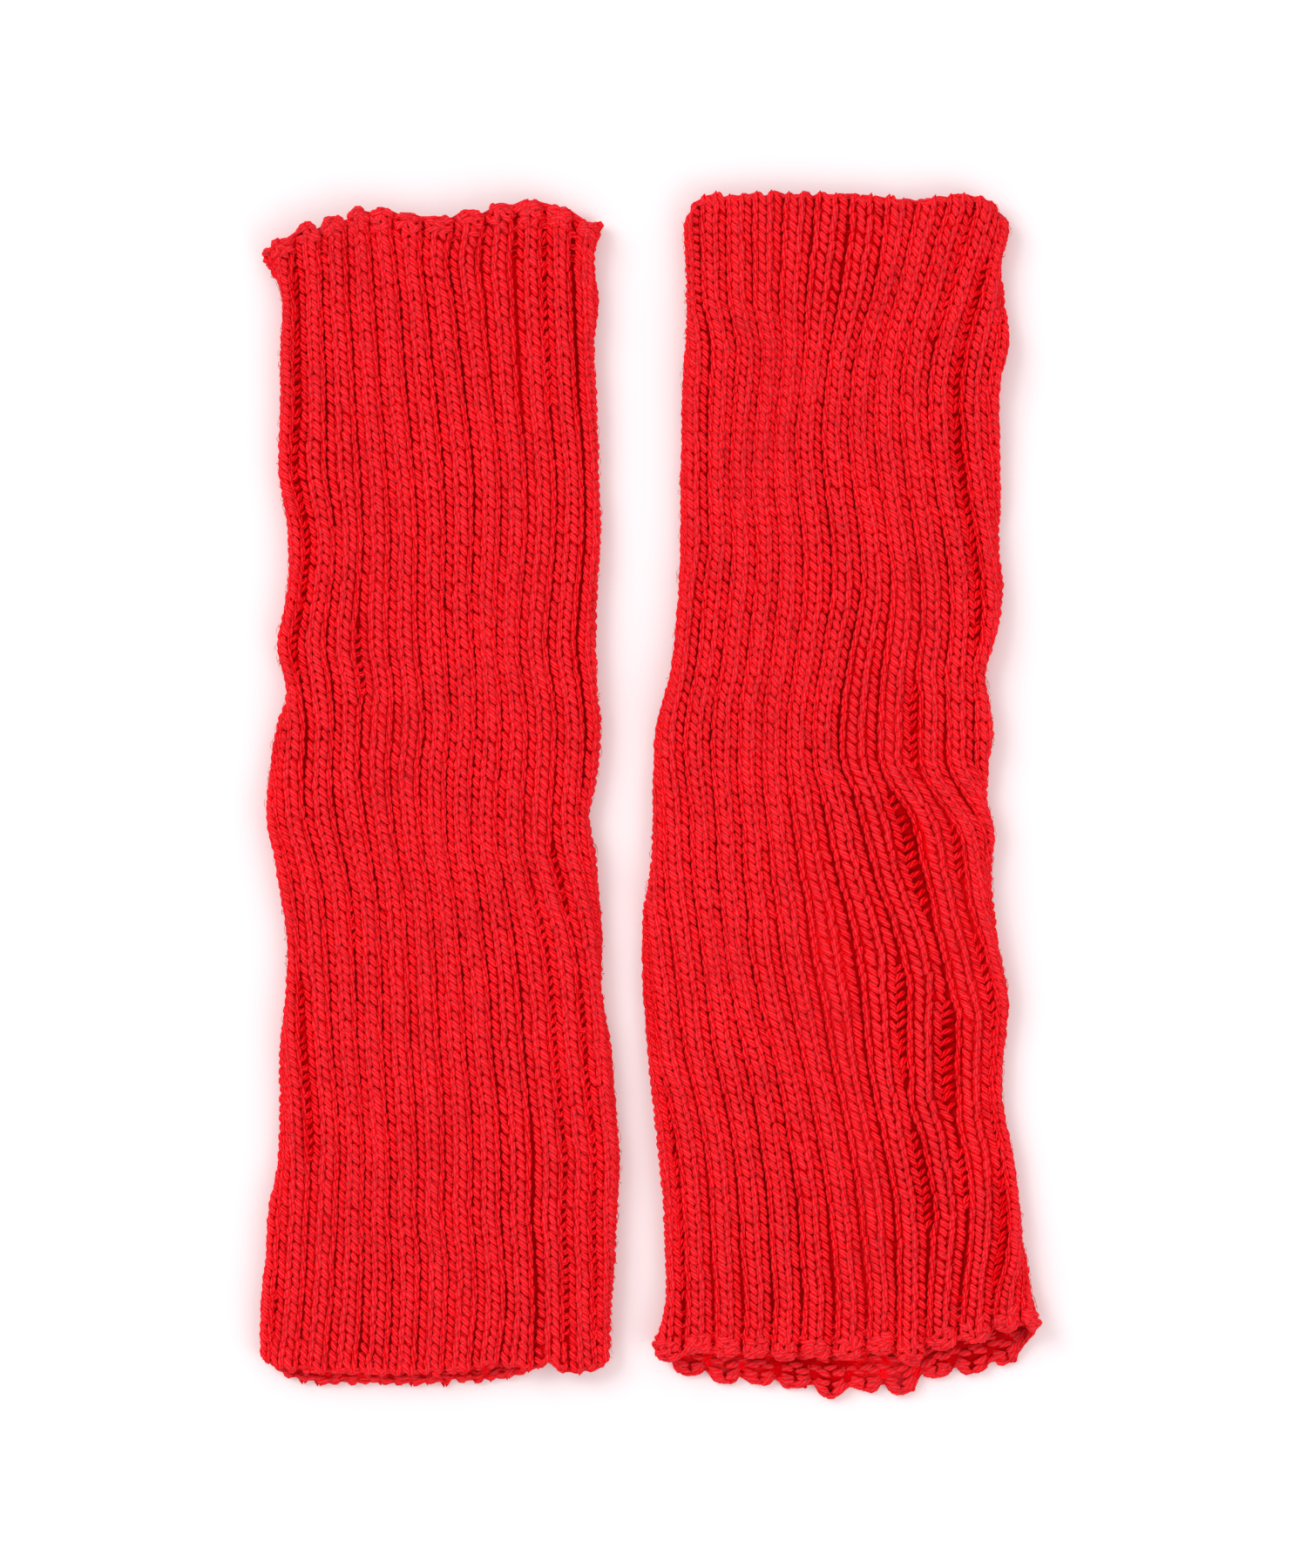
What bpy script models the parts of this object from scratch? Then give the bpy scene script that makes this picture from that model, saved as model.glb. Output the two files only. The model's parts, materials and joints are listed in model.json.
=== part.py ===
"""Pair of leg warmers, two tubes of 2 by 2 rib knit laid flat side by side, head to tail.

Each tube is one closed wall: ribs are raised on its outer side over a plain inside, its underside
lies flat on the surface, and both of its ends are open. X runs across the pair, Y along the tubes
and Z up. The origin is on the surface, in the middle of the pair. Tables are in millimetres.
"""

from collections import namedtuple

import bmesh
import bpy
import numpy as np

MM = 0.001

# The knit
RIBS_AROUND = 24
RIB_PITCH = 10.0
RIB_RELIEF = 2.2
CLOTH_WALL = 2.2
UNDER_WALL = 3.2
CLOSED_VALLEY = 1.0

# A rib's outer points: share of the way across it, and share of the relief that each lies down
RIB_PROFILE = ((0.0, 1.0), (0.14, 0.4), (0.34, 0.0), (0.66, 0.0), (0.86, 0.4), (1.0, 1.0))

# How a tube is read: its first rib, and the valleys that the section tables follow
FIRST_RIB = -1
GUIDE_VALLEYS = (1, 3, 5, 7, 9)

# The two ends
EDGE_REACH = 70.0
SCALLOP_REACH = 9.0
RIM_ROUNDING = 0.8
RIM_STEPS = (0.0, 2.5, 7.0)
END_MARGIN = 13.0

OPENING_FADE = 10.0

RED = (0.787, 0.011, 0.015, 1.0)

Section = namedtuple("Section", "along left right high valley1 valley3 valley5 valley7 valley9")
Edge = namedtuple("Edge", "across front back")
Opening = namedtuple("Opening", "valley start end width")
Fold = namedtuple("Fold", "across along length width turn rise")
Warmer = namedtuple("Warmer", "name centre top bottom sections top_edge bottom_edge openings folds "
                              "top_scallop bottom_scallop top_band bottom_band")

# Left tube: where its edges and five of its valleys lie, across from its own middle
LEFT_SECTIONS = (
    Section(194.4, -60.9, 55.8, 11.0, -49.8, -31.8, -16.2, 5.4, 26.4),
    Section(183.0, -59.7, 54.0, 10.6, -49.5, -31.2, -14.7, 3.3, 26.1),
    Section(171.0, -54.9, 55.2, 10.0, -49.2, -30.9, -13.5, 5.1, 26.4),
    Section(153.0, -55.5, 54.0, 9.6, -48.9, -29.7, -12.3, 7.2, 27.3),
    Section(135.0, -55.5, 54.9, 9.6, -48.6, -28.8, -10.8, 9.3, 28.2),
    Section(111.0, -55.8, 55.2, 9.4, -49.8, -27.0, -8.7, 12.0, 30.3),
    Section(87.0, -52.8, 56.1, 9.6, -45.3, -26.1, -7.2, 12.0, 30.3),
    Section(69.0, -53.1, 54.9, 9.8, -46.8, -27.0, -7.5, 11.4, 28.8),
    Section(49.5, -56.4, 54.6, 9.8, -50.1, -27.6, -6.9, 12.3, 27.6),
    Section(34.5, -53.4, 55.2, 10.6, -47.1, -25.8, -5.4, 12.9, 29.7),
    Section(24.0, -56.1, 56.1, 9.8, -45.6, -26.7, -4.8, 12.9, 30.6),
    Section(6.0, -58.8, 54.6, 9.6, -46.5, -27.0, -6.6, 11.7, 30.0),
    Section(-9.0, -59.7, 51.9, 10.2, -45.6, -25.2, -6.0, 11.1, 29.1),
    Section(-21.0, -57.6, 54.0, 10.6, -42.6, -23.1, -5.1, 11.7, 29.7),
    Section(-33.0, -55.8, 54.9, 10.2, -39.9, -21.3, -3.0, 13.5, 32.4),
    Section(-51.0, -52.8, 56.4, 9.8, -38.4, -20.1, -1.5, 15.6, 36.6),
    Section(-69.0, -53.7, 56.7, 9.6, -37.5, -19.5, -0.6, 17.4, 39.0),
    Section(-87.0, -55.5, 59.4, 9.6, -36.6, -19.2, 0.3, 18.3, 40.2),
    Section(-108.0, -55.2, 61.2, 9.6, -34.8, -18.0, 1.8, 20.4, 42.0),
    Section(-129.0, -56.1, 62.7, 9.6, -34.2, -16.8, 2.1, 21.3, 43.8),
    Section(-144.0, -59.1, 61.8, 9.8, -34.8, -17.1, 1.8, 21.3, 43.2),
    Section(-162.0, -60.3, 61.2, 9.6, -35.7, -16.2, 3.3, 22.5, 43.8),
    Section(-177.0, -61.8, 59.7, 9.8, -36.6, -16.2, 3.0, 23.1, 44.1),
    Section(-196.5, -61.8, 59.1, 10.0, -38.4, -17.4, 1.8, 20.7, 44.7),
)

# Right tube, the same way
RIGHT_SECTIONS = (
    Section(201.0, -52.5, 57.3, 10.0, -47.4, -29.7, -8.1, 15.9, 37.2),
    Section(195.0, -53.4, 59.4, 10.0, -47.4, -29.7, -8.7, 15.6, 35.1),
    Section(183.0, -52.8, 57.3, 9.8, -47.1, -29.4, -9.9, 14.1, 31.5),
    Section(171.0, -52.5, 57.9, 9.8, -46.8, -29.4, -11.1, 11.7, 28.2),
    Section(153.0, -52.8, 59.4, 10.8, -43.8, -26.4, -11.7, 6.3, 23.1),
    Section(141.0, -53.7, 56.4, 10.4, -44.4, -27.0, -12.9, 4.5, 21.3),
    Section(123.0, -54.0, 56.4, 9.6, -44.7, -28.8, -14.7, 3.6, 21.6),
    Section(105.0, -54.3, 56.4, 9.4, -44.7, -29.7, -14.1, 5.1, 23.7),
    Section(87.0, -54.3, 56.1, 9.6, -44.4, -28.2, -12.3, 7.5, 26.7),
    Section(69.0, -55.2, 57.6, 9.8, -46.5, -28.8, -12.3, 7.8, 28.5),
    Section(54.0, -56.4, 55.5, 10.4, -47.7, -30.6, -13.8, 4.8, 28.2),
    Section(40.5, -58.2, 51.6, 11.0, -49.5, -32.1, -15.6, 2.4, 26.7),
    Section(31.5, -60.6, 53.1, 10.6, -51.6, -33.9, -17.1, 0.9, 27.0),
    Section(21.0, -63.0, 54.6, 10.0, -53.1, -34.2, -17.7, 0.0, 27.0),
    Section(9.0, -63.3, 52.5, 10.0, -52.8, -34.5, -17.7, 0.9, 27.6),
    Section(0.0, -63.6, 51.9, 10.6, -51.6, -34.2, -17.1, 4.8, 32.4),
    Section(-12.0, -63.6, 54.3, 10.6, -51.0, -33.0, -15.6, 7.8, 39.9),
    Section(-27.0, -64.8, 53.4, 10.2, -50.4, -32.7, -13.5, 11.7, 42.6),
    Section(-39.0, -67.2, 54.3, 9.8, -49.2, -31.5, -11.4, 16.2, 44.7),
    Section(-54.0, -67.5, 56.7, 9.6, -47.1, -30.6, -9.6, 20.7, 49.2),
    Section(-72.0, -66.9, 59.4, 9.4, -45.0, -27.3, -6.0, 22.2, 54.0),
    Section(-90.0, -65.4, 57.6, 9.4, -42.9, -22.5, -3.0, 22.5, 54.0),
    Section(-105.0, -63.9, 57.0, 9.6, -39.3, -19.5, 0.3, 24.0, 53.4),
    Section(-123.0, -62.4, 60.6, 9.6, -36.0, -16.8, 3.9, 27.9, 56.4),
    Section(-144.0, -60.3, 63.6, 9.6, -34.2, -13.8, 6.9, 31.5, 57.9),
    Section(-159.0, -59.7, 65.4, 9.8, -33.6, -13.2, 8.4, 31.2, 56.7),
    Section(-174.0, -59.7, 67.5, 10.6, -32.7, -12.3, 9.9, 30.6, 53.7),
    Section(-183.0, -61.8, 70.2, 11.0, -32.7, -12.6, 9.9, 30.3, 53.1),
    Section(-192.0, -63.9, 65.7, 11.2, -33.0, -13.2, 9.6, 30.3, 53.1),
)

# The ends: how far along the front layer and the back layer reach, across from the tube's middle
LEFT_TOP = (
    Edge(-59.7, 187.8, 187.8), Edge(-50.1, 194.1, 192.0), Edge(-39.3, 196.8, 194.0),
    Edge(-30.3, 199.5, 196.0), Edge(-19.2, 200.7, 197.0), Edge(-5.7, 198.6, 196.0),
    Edge(12.3, 199.5, 196.0), Edge(28.8, 202.2, 198.0), Edge(36.3, 203.4, 199.0),
    Edge(45.3, 200.4, 198.0), Edge(55.2, 194.4, 194.4),
)
LEFT_BOTTOM = (
    Edge(-62.1, -195.6, -195.6), Edge(-53.7, -198.6, -200.7), Edge(-47.1, -199.5, -203.1),
    Edge(-31.2, -200.4, -204.0), Edge(-15.0, -200.4, -204.0), Edge(5.1, -200.1, -203.4),
    Edge(17.1, -197.7, -203.1), Edge(25.5, -198.0, -201.6), Edge(33.0, -198.9, -198.6),
    Edge(37.2, -196.8, -196.0), Edge(45.6, -200.4, -198.0), Edge(53.1, -198.9, -198.0),
    Edge(59.1, -196.5, -196.5),
)
RIGHT_TOP = (
    Edge(-53.4, 196.5, 196.5), Edge(-47.4, 204.9, 203.0), Edge(-39.9, 206.1, 204.0),
    Edge(-20.4, 206.7, 204.0), Edge(-9.9, 206.4, 204.0), Edge(3.3, 206.7, 204.0),
    Edge(15.6, 205.2, 203.0), Edge(28.8, 204.6, 202.0), Edge(42.0, 206.1, 203.0),
    Edge(50.7, 204.6, 202.0), Edge(56.1, 201.9, 200.0), Edge(59.1, 195.9, 195.9),
)
RIGHT_BOTTOM = (
    Edge(-64.8, -190.5, -191.4), Edge(-57.3, -195.6, -196.8), Edge(-48.3, -193.8, -201.6),
    Edge(-33.3, -195.0, -203.4), Edge(-18.3, -195.3, -205.2), Edge(-3.3, -195.9, -206.7),
    Edge(13.2, -193.2, -206.1), Edge(26.7, -195.0, -205.8), Edge(35.7, -190.5, -201.3),
    Edge(44.7, -188.1, -199.2), Edge(53.7, -186.0, -197.7), Edge(61.2, -183.0, -193.8),
    Edge(69.3, -180.6, -184.5),
)

# Valleys that the lay of the cloth pulls open, and how wide each then is
LEFT_OPENINGS = (
    Opening(1, 190.0, 36.0, 4.0), Opening(1, 34.0, 0.0, 2.0), Opening(3, 64.0, 28.0, 2.6),
    Opening(9, 205.0, 120.0, 2.2), Opening(10, 205.0, 125.0, 2.4), Opening(11, 205.0, -12.0, 2.2),
    Opening(2, -25.0, -62.0, 2.4), Opening(10, -12.0, -48.0, 3.4), Opening(0, -58.0, -132.0, 3.8),
    Opening(8, -110.0, -192.0, 2.2), Opening(9, -25.0, -198.0, 2.4), Opening(10, -60.0, -198.0, 2.6),
    Opening(-1, -165.0, -198.0, 2.6),
)
RIGHT_OPENINGS = (
    Opening(1, 170.0, 118.0, 1.8), Opening(6, 200.0, 172.0, 2.0), Opening(7, 192.0, 172.0, 2.0),
    Opening(10, 206.0, 148.0, 2.4), Opening(11, 190.0, 44.0, 4.0), Opening(9, 42.0, 4.0, 3.8),
    Opening(10, 28.0, -12.0, 2.2), Opening(8, 4.0, -46.0, 4.4), Opening(9, -4.0, -36.0, 2.6),
    Opening(7, -54.0, -106.0, 3.4), Opening(8, -68.0, -114.0, 5.0), Opening(9, -42.0, -130.0, 2.4),
    Opening(7, -112.0, -156.0, 4.4), Opening(8, -116.0, -152.0, 2.4), Opening(9, -126.0, -184.0, 4.6),
    Opening(-1, -34.0, -94.0, 3.6), Opening(-1, -94.0, -184.0, 2.6), Opening(0, -160.0, -192.0, 2.2),
    Opening(1, -160.0, -192.0, 2.4), Opening(4, -140.0, -192.0, 2.2), Opening(5, -160.0, -192.0, 2.2),
)

# Soft troughs and ridges of the upper layer; turn is in degrees from along the tube
LEFT_FOLDS = (
    Fold(-40.0, 38.0, 26.0, 9.0, 75.0, -1.0), Fold(-50.0, -14.0, 34.0, 10.0, 55.0, 0.9),
    Fold(-24.0, 46.0, 20.0, 4.0, 5.0, -1.0), Fold(42.0, -26.0, 26.0, 8.0, -30.0, 1.0),
    Fold(48.0, -84.0, 40.0, 8.0, -5.0, 0.7), Fold(10.0, 120.0, 60.0, 14.0, -12.0, 0.6),
)
RIGHT_FOLDS = (
    Fold(46.0, 150.0, 30.0, 8.0, 40.0, 1.1), Fold(34.0, 160.0, 26.0, 5.0, 25.0, -1.0),
    Fold(34.0, 45.0, 24.0, 8.0, -75.0, 1.2), Fold(28.0, 24.0, 24.0, 5.0, 0.0, -1.0),
    Fold(26.0, -6.0, 34.0, 8.0, -35.0, 1.0), Fold(-56.0, 26.0, 30.0, 9.0, 20.0, 0.8),
    Fold(-16.0, -76.0, 60.0, 12.0, -18.0, 0.6), Fold(60.0, -176.0, 20.0, 10.0, 40.0, 0.8),
)

LEFT = Warmer("left_leg_warmer", -72.6, 200.0, -202.0, LEFT_SECTIONS, LEFT_TOP, LEFT_BOTTOM,
              LEFT_OPENINGS, LEFT_FOLDS, 2.2, 0.9, 6.0, 2.5)
RIGHT = Warmer("right_leg_warmer", 64.5, 205.0, -199.0, RIGHT_SECTIONS, RIGHT_TOP, RIGHT_BOTTOM,
               RIGHT_OPENINGS, RIGHT_FOLDS, 0.9, 2.2, 2.5, 6.0)


def smooth(amount):
    """Ease from 0 to 1."""
    held = np.clip(amount, 0.0, 1.0)
    return held * held * (3.0 - 2.0 * held)


def through(rows, at_name, name, at):
    """Smooth curve through one column of a table, level beyond its ends."""
    order = sorted(rows, key=lambda row: getattr(row, at_name))
    knots = np.array([getattr(row, at_name) for row in order])
    values = np.array([getattr(row, name) for row in order])
    slopes = np.gradient(values, knots)
    low = np.clip(np.searchsorted(knots, at) - 1, 0, len(knots) - 2)
    span = knots[low + 1] - knots[low]
    t = np.clip((at - knots[low]) / span, 0.0, 1.0)
    rise = t * t * (3.0 - 2.0 * t)
    bend = slopes[low] * t * (1.0 - t) ** 2 - slopes[low + 1] * t * t * (1.0 - t)
    return values[low] * (1.0 - rise) + values[low + 1] * rise + bend * span


def arc_at_rib(warmer, rib, along, left, right, radius):
    """Distance around the tube, from its left edge over the top, of a rib number."""
    quarter = np.pi * radius / 2.0
    flat = right - left - 2.0 * radius
    around = 2.0 * flat + 4.0 * quarter
    guides = [through(warmer.sections, "along", f"valley{number}", along) for number in GUIDE_VALLEYS]
    stops = [quarter + across - left - radius for across in guides]
    first = stops[0] - (GUIDE_VALLEYS[0] - FIRST_RIB) * RIB_PITCH
    last_rib = GUIDE_VALLEYS[-1] + GUIDE_VALLEYS[0] - FIRST_RIB
    last = stops[-1] + (last_rib - GUIDE_VALLEYS[-1]) * RIB_PITCH
    numbers = (FIRST_RIB, *GUIDE_VALLEYS, last_rib, FIRST_RIB + RIBS_AROUND)
    stops = [first, *stops, last, first + around]
    arc = stops[0] + 0.0 * rib
    for low in range(len(numbers) - 1):
        share = np.clip((rib - numbers[low]) / (numbers[low + 1] - numbers[low]), 0.0, 1.0)
        arc = arc + share * (stops[low + 1] - stops[low])
    return np.mod(arc, around)


def lay_round(arc, left, right, radius):
    """Middle line and outward direction of the flattened tube at a distance around it."""
    quarter = np.pi * radius / 2.0
    flat = right - left - 2.0 * radius
    over = np.clip(arc - quarter, 0.0, flat)
    under = np.clip(arc - 3.0 * quarter - flat, 0.0, flat)
    turned = np.clip(arc, 0.0, quarter)
    turned = turned + np.clip(arc - quarter - flat, 0.0, 2.0 * quarter)
    turned = turned + np.clip(arc - 3.0 * quarter - 2.0 * flat, 0.0, quarter)
    angle = turned / radius
    middle = left + radius + over - under
    return middle, -np.cos(angle), np.sin(angle)


def fold_rise(warmer, across, along):
    """Height that the soft folds add to the upper layer."""
    total = 0.0 * across
    for fold in warmer.folds:
        turn = np.radians(fold.turn)
        beside = (across - fold.across) * np.cos(turn) + (along - fold.along) * np.sin(turn)
        beyond = (along - fold.along) * np.cos(turn) - (across - fold.across) * np.sin(turn)
        total = total + fold.rise * np.exp(-(beside / fold.width) ** 2 - (beyond / fold.length) ** 2)
    return total


def cloth_point(warmer, rib, along, over_depth, under_depth, sink):
    """Place of a point of the cloth, in millimetres.

    The depths are measured down from the crowns on the upper and under side, and sink is what a
    valley takes off the outer side, which fades out before the flat underside.
    """
    left = through(warmer.sections, "along", "left", along)
    right = through(warmer.sections, "along", "right", along)
    radius = through(warmer.sections, "along", "high", along) / 2.0
    arc = arc_at_rib(warmer, rib, along, left, right, radius)
    middle, out_across, out_up = lay_round(arc, left, right, radius)
    upper = smooth((out_up + 1.0) / 2.0)
    depth = under_depth + (over_depth - under_depth) * upper + sink * smooth((out_up + 0.55) / 0.9)
    across = middle + (radius - depth) * out_across
    height = radius + (radius - depth) * out_up
    height = height + fold_rise(warmer, across, along) * smooth(out_up * 2.0)
    return across, height, upper


def end_shift(warmer, rib, edge, nominal, scallop, toward):
    """How far a rib's end lies beyond the tube's nominal end: the edge's own line, and its scallop."""
    ends = np.full_like(rib, nominal)
    across, _, upper = cloth_point(warmer, rib, ends, 0.0, 0.0, 0.0)
    front = through(edge, "across", "front", across)
    back = through(edge, "across", "back", across)
    line = back + (front - back) * upper - nominal
    notch = -toward * scallop * (0.5 + 0.5 * np.cos(2.0 * np.pi * rib))
    return line, notch


def run_along(warmer, rib, nominal):
    """Place along the tube of a course, which follows the two uneven ends near them."""
    top_line, top_notch = end_shift(warmer, rib, warmer.top_edge, warmer.top, warmer.top_scallop, 1.0)
    low_line, low_notch = end_shift(warmer, rib, warmer.bottom_edge, warmer.bottom,
                                    warmer.bottom_scallop, -1.0)
    from_top = warmer.top - nominal
    from_low = nominal - warmer.bottom
    along = nominal + top_line * (1.0 - smooth(from_top / EDGE_REACH))
    along = along + top_notch * (1.0 - smooth(from_top / SCALLOP_REACH))
    along = along + low_line * (1.0 - smooth(from_low / EDGE_REACH))
    return along + low_notch * (1.0 - smooth(from_low / SCALLOP_REACH))


def valley_half_width(warmer, valley, along):
    """Half the width of a valley's floor, as a share of the rib pitch."""
    number = (valley - FIRST_RIB) % RIBS_AROUND + FIRST_RIB
    width = CLOSED_VALLEY
    for opening in warmer.openings:
        if opening.valley != number:
            continue
        begun = smooth((opening.start - along) / OPENING_FADE)
        left_over = smooth((along - opening.end) / OPENING_FADE)
        width = max(width, CLOSED_VALLEY + (opening.width - CLOSED_VALLEY) * float(begun * left_over))
    return width / 2.0 / RIB_PITCH


def outer_ribs(warmer, along):
    """Rib numbers around one course, six to a rib, and the share of the relief each lies down."""
    ribs = []
    sinks = []
    for rib in range(FIRST_RIB, FIRST_RIB + RIBS_AROUND):
        before = valley_half_width(warmer, rib, along)
        after = valley_half_width(warmer, rib + 1, along)
        for share, sink in RIB_PROFILE:
            ribs.append(rib + before + share * (1.0 - before - after))
            sinks.append(sink)
    return np.array(ribs), np.array(sinks)


def course_places(warmer):
    """Nominal places along the tube of its courses, top to bottom: rims, then each table row."""
    top_rim = [warmer.top - step for step in RIM_STEPS]
    low_rim = [warmer.bottom + step for step in reversed(RIM_STEPS)]
    rows = [row.along for row in warmer.sections]
    inside = [row for row in rows if warmer.bottom + END_MARGIN < row < warmer.top - END_MARGIN]
    return top_rim + inside + low_rim


def relief_share(warmer, nominal):
    """Share of the rib relief left near the ends, where a band of edge stitches fills the valleys."""
    top = smooth((warmer.top - nominal) / warmer.top_band)
    low = smooth((nominal - warmer.bottom) / warmer.bottom_band)
    return 0.25 + 0.75 * float(min(top, low))


def outer_course(warmer, nominal):
    """Outer points of one course."""
    ribs, sinks = outer_ribs(warmer, nominal)
    along = run_along(warmer, ribs, nominal)
    at_rim = nominal in (warmer.top, warmer.bottom)
    rounding = RIM_ROUNDING if at_rim else 0.0
    sink = RIB_RELIEF * relief_share(warmer, nominal) * sinks
    across, height, _ = cloth_point(warmer, ribs, along, rounding, 0.0, sink)
    return across, along, height


def inner_course(warmer, nominal):
    """Inner points of one course, two to a rib, at an even depth under the crowns."""
    ribs = FIRST_RIB + np.arange(2 * RIBS_AROUND) / 2.0
    along = run_along(warmer, ribs, nominal)
    across, height, _ = cloth_point(warmer, ribs, along, RIB_RELIEF + CLOTH_WALL, UNDER_WALL, 0.0)
    return across, along, height


def add_course(mesh, warmer, course):
    """Add one course's points and return them in order."""
    across, along, height = course
    return [mesh.verts.new(((warmer.centre + x) * MM, y * MM, max(z, 0.0) * MM))
            for x, y, z in zip(across.tolist(), along.tolist(), height.tolist())]


def skin(mesh, courses):
    """Join neighbouring courses with quads, all round."""
    for upper, lower in zip(courses, courses[1:]):
        count = len(upper)
        for here in range(count):
            after = (here + 1) % count
            mesh.faces.new((upper[here], upper[after], lower[after], lower[here]))


def rim(mesh, outer, inner):
    """Close one end between its outer course, six points a rib, and its inner one, two a rib."""
    across_rib = len(RIB_PROFILE)
    for rib in range(RIBS_AROUND):
        points = [outer[(rib * across_rib + step) % len(outer)] for step in range(across_rib + 1)]
        valley, crown, beyond = [inner[(2 * rib + step) % len(inner)] for step in range(3)]
        mesh.faces.new((points[0], points[1], valley))
        mesh.faces.new((points[1], points[2], crown, valley))
        mesh.faces.new((points[2], points[3], crown))
        mesh.faces.new((points[3], points[4], beyond, crown))
        mesh.faces.new((points[4], points[5], beyond))
        mesh.faces.new((points[5], points[6], beyond))


def knit_finish():
    """Bright red wool-like yarn."""
    finish = bpy.data.materials.new("red_rib_knit")
    finish.use_nodes = True
    surface = finish.node_tree.nodes["Principled BSDF"]
    surface.inputs["Base Color"].default_value = RED
    surface.inputs["Roughness"].default_value = 0.9
    surface.inputs["Metallic"].default_value = 0.0
    return finish


def build_warmer(warmer, finish, collection):
    """Make one tube as a single closed wall."""
    mesh = bmesh.new()
    places = course_places(warmer)
    outer = [add_course(mesh, warmer, outer_course(warmer, nominal)) for nominal in places]
    inner = [add_course(mesh, warmer, inner_course(warmer, nominal)) for nominal in places]
    skin(mesh, outer)
    skin(mesh, inner)
    rim(mesh, outer[0], inner[0])
    rim(mesh, outer[-1], inner[-1])
    bmesh.ops.recalc_face_normals(mesh, faces=mesh.faces)
    data = bpy.data.meshes.new(warmer.name)
    mesh.to_mesh(data)
    mesh.free()
    data.materials.append(finish)
    data.shade_smooth()
    made = bpy.data.objects.new(warmer.name, data)
    collection.objects.link(made)
    return made


def clear_scene():
    """Remove what the scene holds."""
    for found in list(bpy.data.objects):
        bpy.data.objects.remove(found, do_unlink=True)


def main():
    """Build the pair."""
    clear_scene()
    pair = bpy.data.collections.new("leg_warmers")
    bpy.context.scene.collection.children.link(pair)
    finish = knit_finish()
    for warmer in (LEFT, RIGHT):
        build_warmer(warmer, finish, pair)


main()
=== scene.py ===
"""Pair of leg warmers, two tubes of 2 by 2 rib knit laid flat side by side, head to tail.

The knit is built stitch by stitch over each tube's own lay: a thin cloth closes the wall, plump
yarn legs make the knit V's on it, purl arcs line the valleys that are pulled open, and chains of
stitches finish the loose bound-off end and the neat cast-on end. Tables are in millimetres.
"""

import json
import logging
import math
from dataclasses import dataclass, field
from enum import Enum
from typing import NamedTuple, Sequence, TypeVar

import bpy
import numpy as np
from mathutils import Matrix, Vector
from numpy.typing import NDArray

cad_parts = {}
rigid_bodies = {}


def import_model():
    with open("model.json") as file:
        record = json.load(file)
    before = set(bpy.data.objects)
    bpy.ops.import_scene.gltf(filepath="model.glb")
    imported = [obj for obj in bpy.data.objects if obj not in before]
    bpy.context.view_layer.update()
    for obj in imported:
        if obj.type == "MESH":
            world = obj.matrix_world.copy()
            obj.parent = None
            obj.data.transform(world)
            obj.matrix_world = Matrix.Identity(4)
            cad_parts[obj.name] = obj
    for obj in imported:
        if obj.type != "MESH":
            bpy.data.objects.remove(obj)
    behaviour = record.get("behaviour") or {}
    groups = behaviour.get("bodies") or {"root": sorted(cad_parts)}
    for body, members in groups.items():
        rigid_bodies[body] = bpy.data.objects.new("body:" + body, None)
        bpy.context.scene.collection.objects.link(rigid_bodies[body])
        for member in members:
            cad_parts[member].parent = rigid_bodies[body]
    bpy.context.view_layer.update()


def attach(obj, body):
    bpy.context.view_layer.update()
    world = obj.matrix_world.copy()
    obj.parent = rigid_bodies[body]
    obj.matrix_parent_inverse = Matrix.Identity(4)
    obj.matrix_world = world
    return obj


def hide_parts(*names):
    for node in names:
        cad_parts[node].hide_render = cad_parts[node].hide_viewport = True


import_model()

LOG = logging.getLogger("leg_warmers")
Array = NDArray[np.float64]
Row = TypeVar("Row", bound=tuple)

MM = 0.001
BODY = "root"
# Name of the attribute that holds each point's depth below the rib crowns, which sets the yarn's painted
# shade
SHADE_DEPTH_ATTRIBUTE = "depth"

# The knit, in millimetres, as the part's source has it
RIBS_AROUND = 24
RIB_PITCH = 10.0
RIB_RELIEF = 2.2
CLOSED_VALLEY = 1.0
FIRST_RIB = -1
GUIDE_VALLEYS = (1, 3, 5, 7, 9)
EDGE_REACH = 70.0
SCALLOP_REACH = 9.0
OPENING_FADE = 10.0

# What only the looks have: rows of stitches, ribs that are flatter away from the loose end and
# pressed shallow on the side that is lain on, and stitches that fill most of a valley and lean into
# an opened one
ROW_HEIGHT = 3.2
UNDER_RELIEF = 1.0
MID_RELIEF = 0.75
BAND_RELIEF = 0.60
OPENED_RELIEF = 1.45
OPENED_WIDTH = 2.5
VALLEY_FILL = 0.70
LOOSE_FILL = 0.35
STRONG_REACH = 110.0
RIB_ROUNDING = 2.4
MIDDLE_GROOVE = 0.18
GROOVE_WIDTH = 0.08
OPENING_SHARE = 0.64

# The wall: shell under the stitches, depth of its inner side, the rounded rim, how many rows line
# its inside at each mouth, and the lobes of the loose edge
CROWN_SINK = 1.45
VALLEY_SINK = 1.6
SHELL_THICKNESS = 1.1
INSIDE_DEPTH = 3.1
RIM_SETBACK = 1.6
RIM_DEPTH = 1.9
INSIDE_ROWS = 8
LOBE_REACH = 9.0
LOBE_RISE = 0.30
LOBE_LEVEL = 0.85

# How strongly a rib's own relief counts as depth for the yarn's painted shade, darker towards the
# valleys, where that depth is 0, how many millimetres it takes to 1, and the most it can be
SUNK_SHADE = 0.70
SHADE_TOP = 0.15
SHADE_FULL_DEPTH = 2.5
SHADE_MOST = 2.0

# Where round the side, by its outward direction's height, the ribs grow to their full relief
CLEAR_FROM = 0.55
CLEAR_FADE = 0.9

# Points of an end's line to a rib, and the steps over which the cloth's directions are taken
LINE_STEPS = 20
SHARE_STEP = 0.03
ALONG_STEP = 0.6

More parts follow.
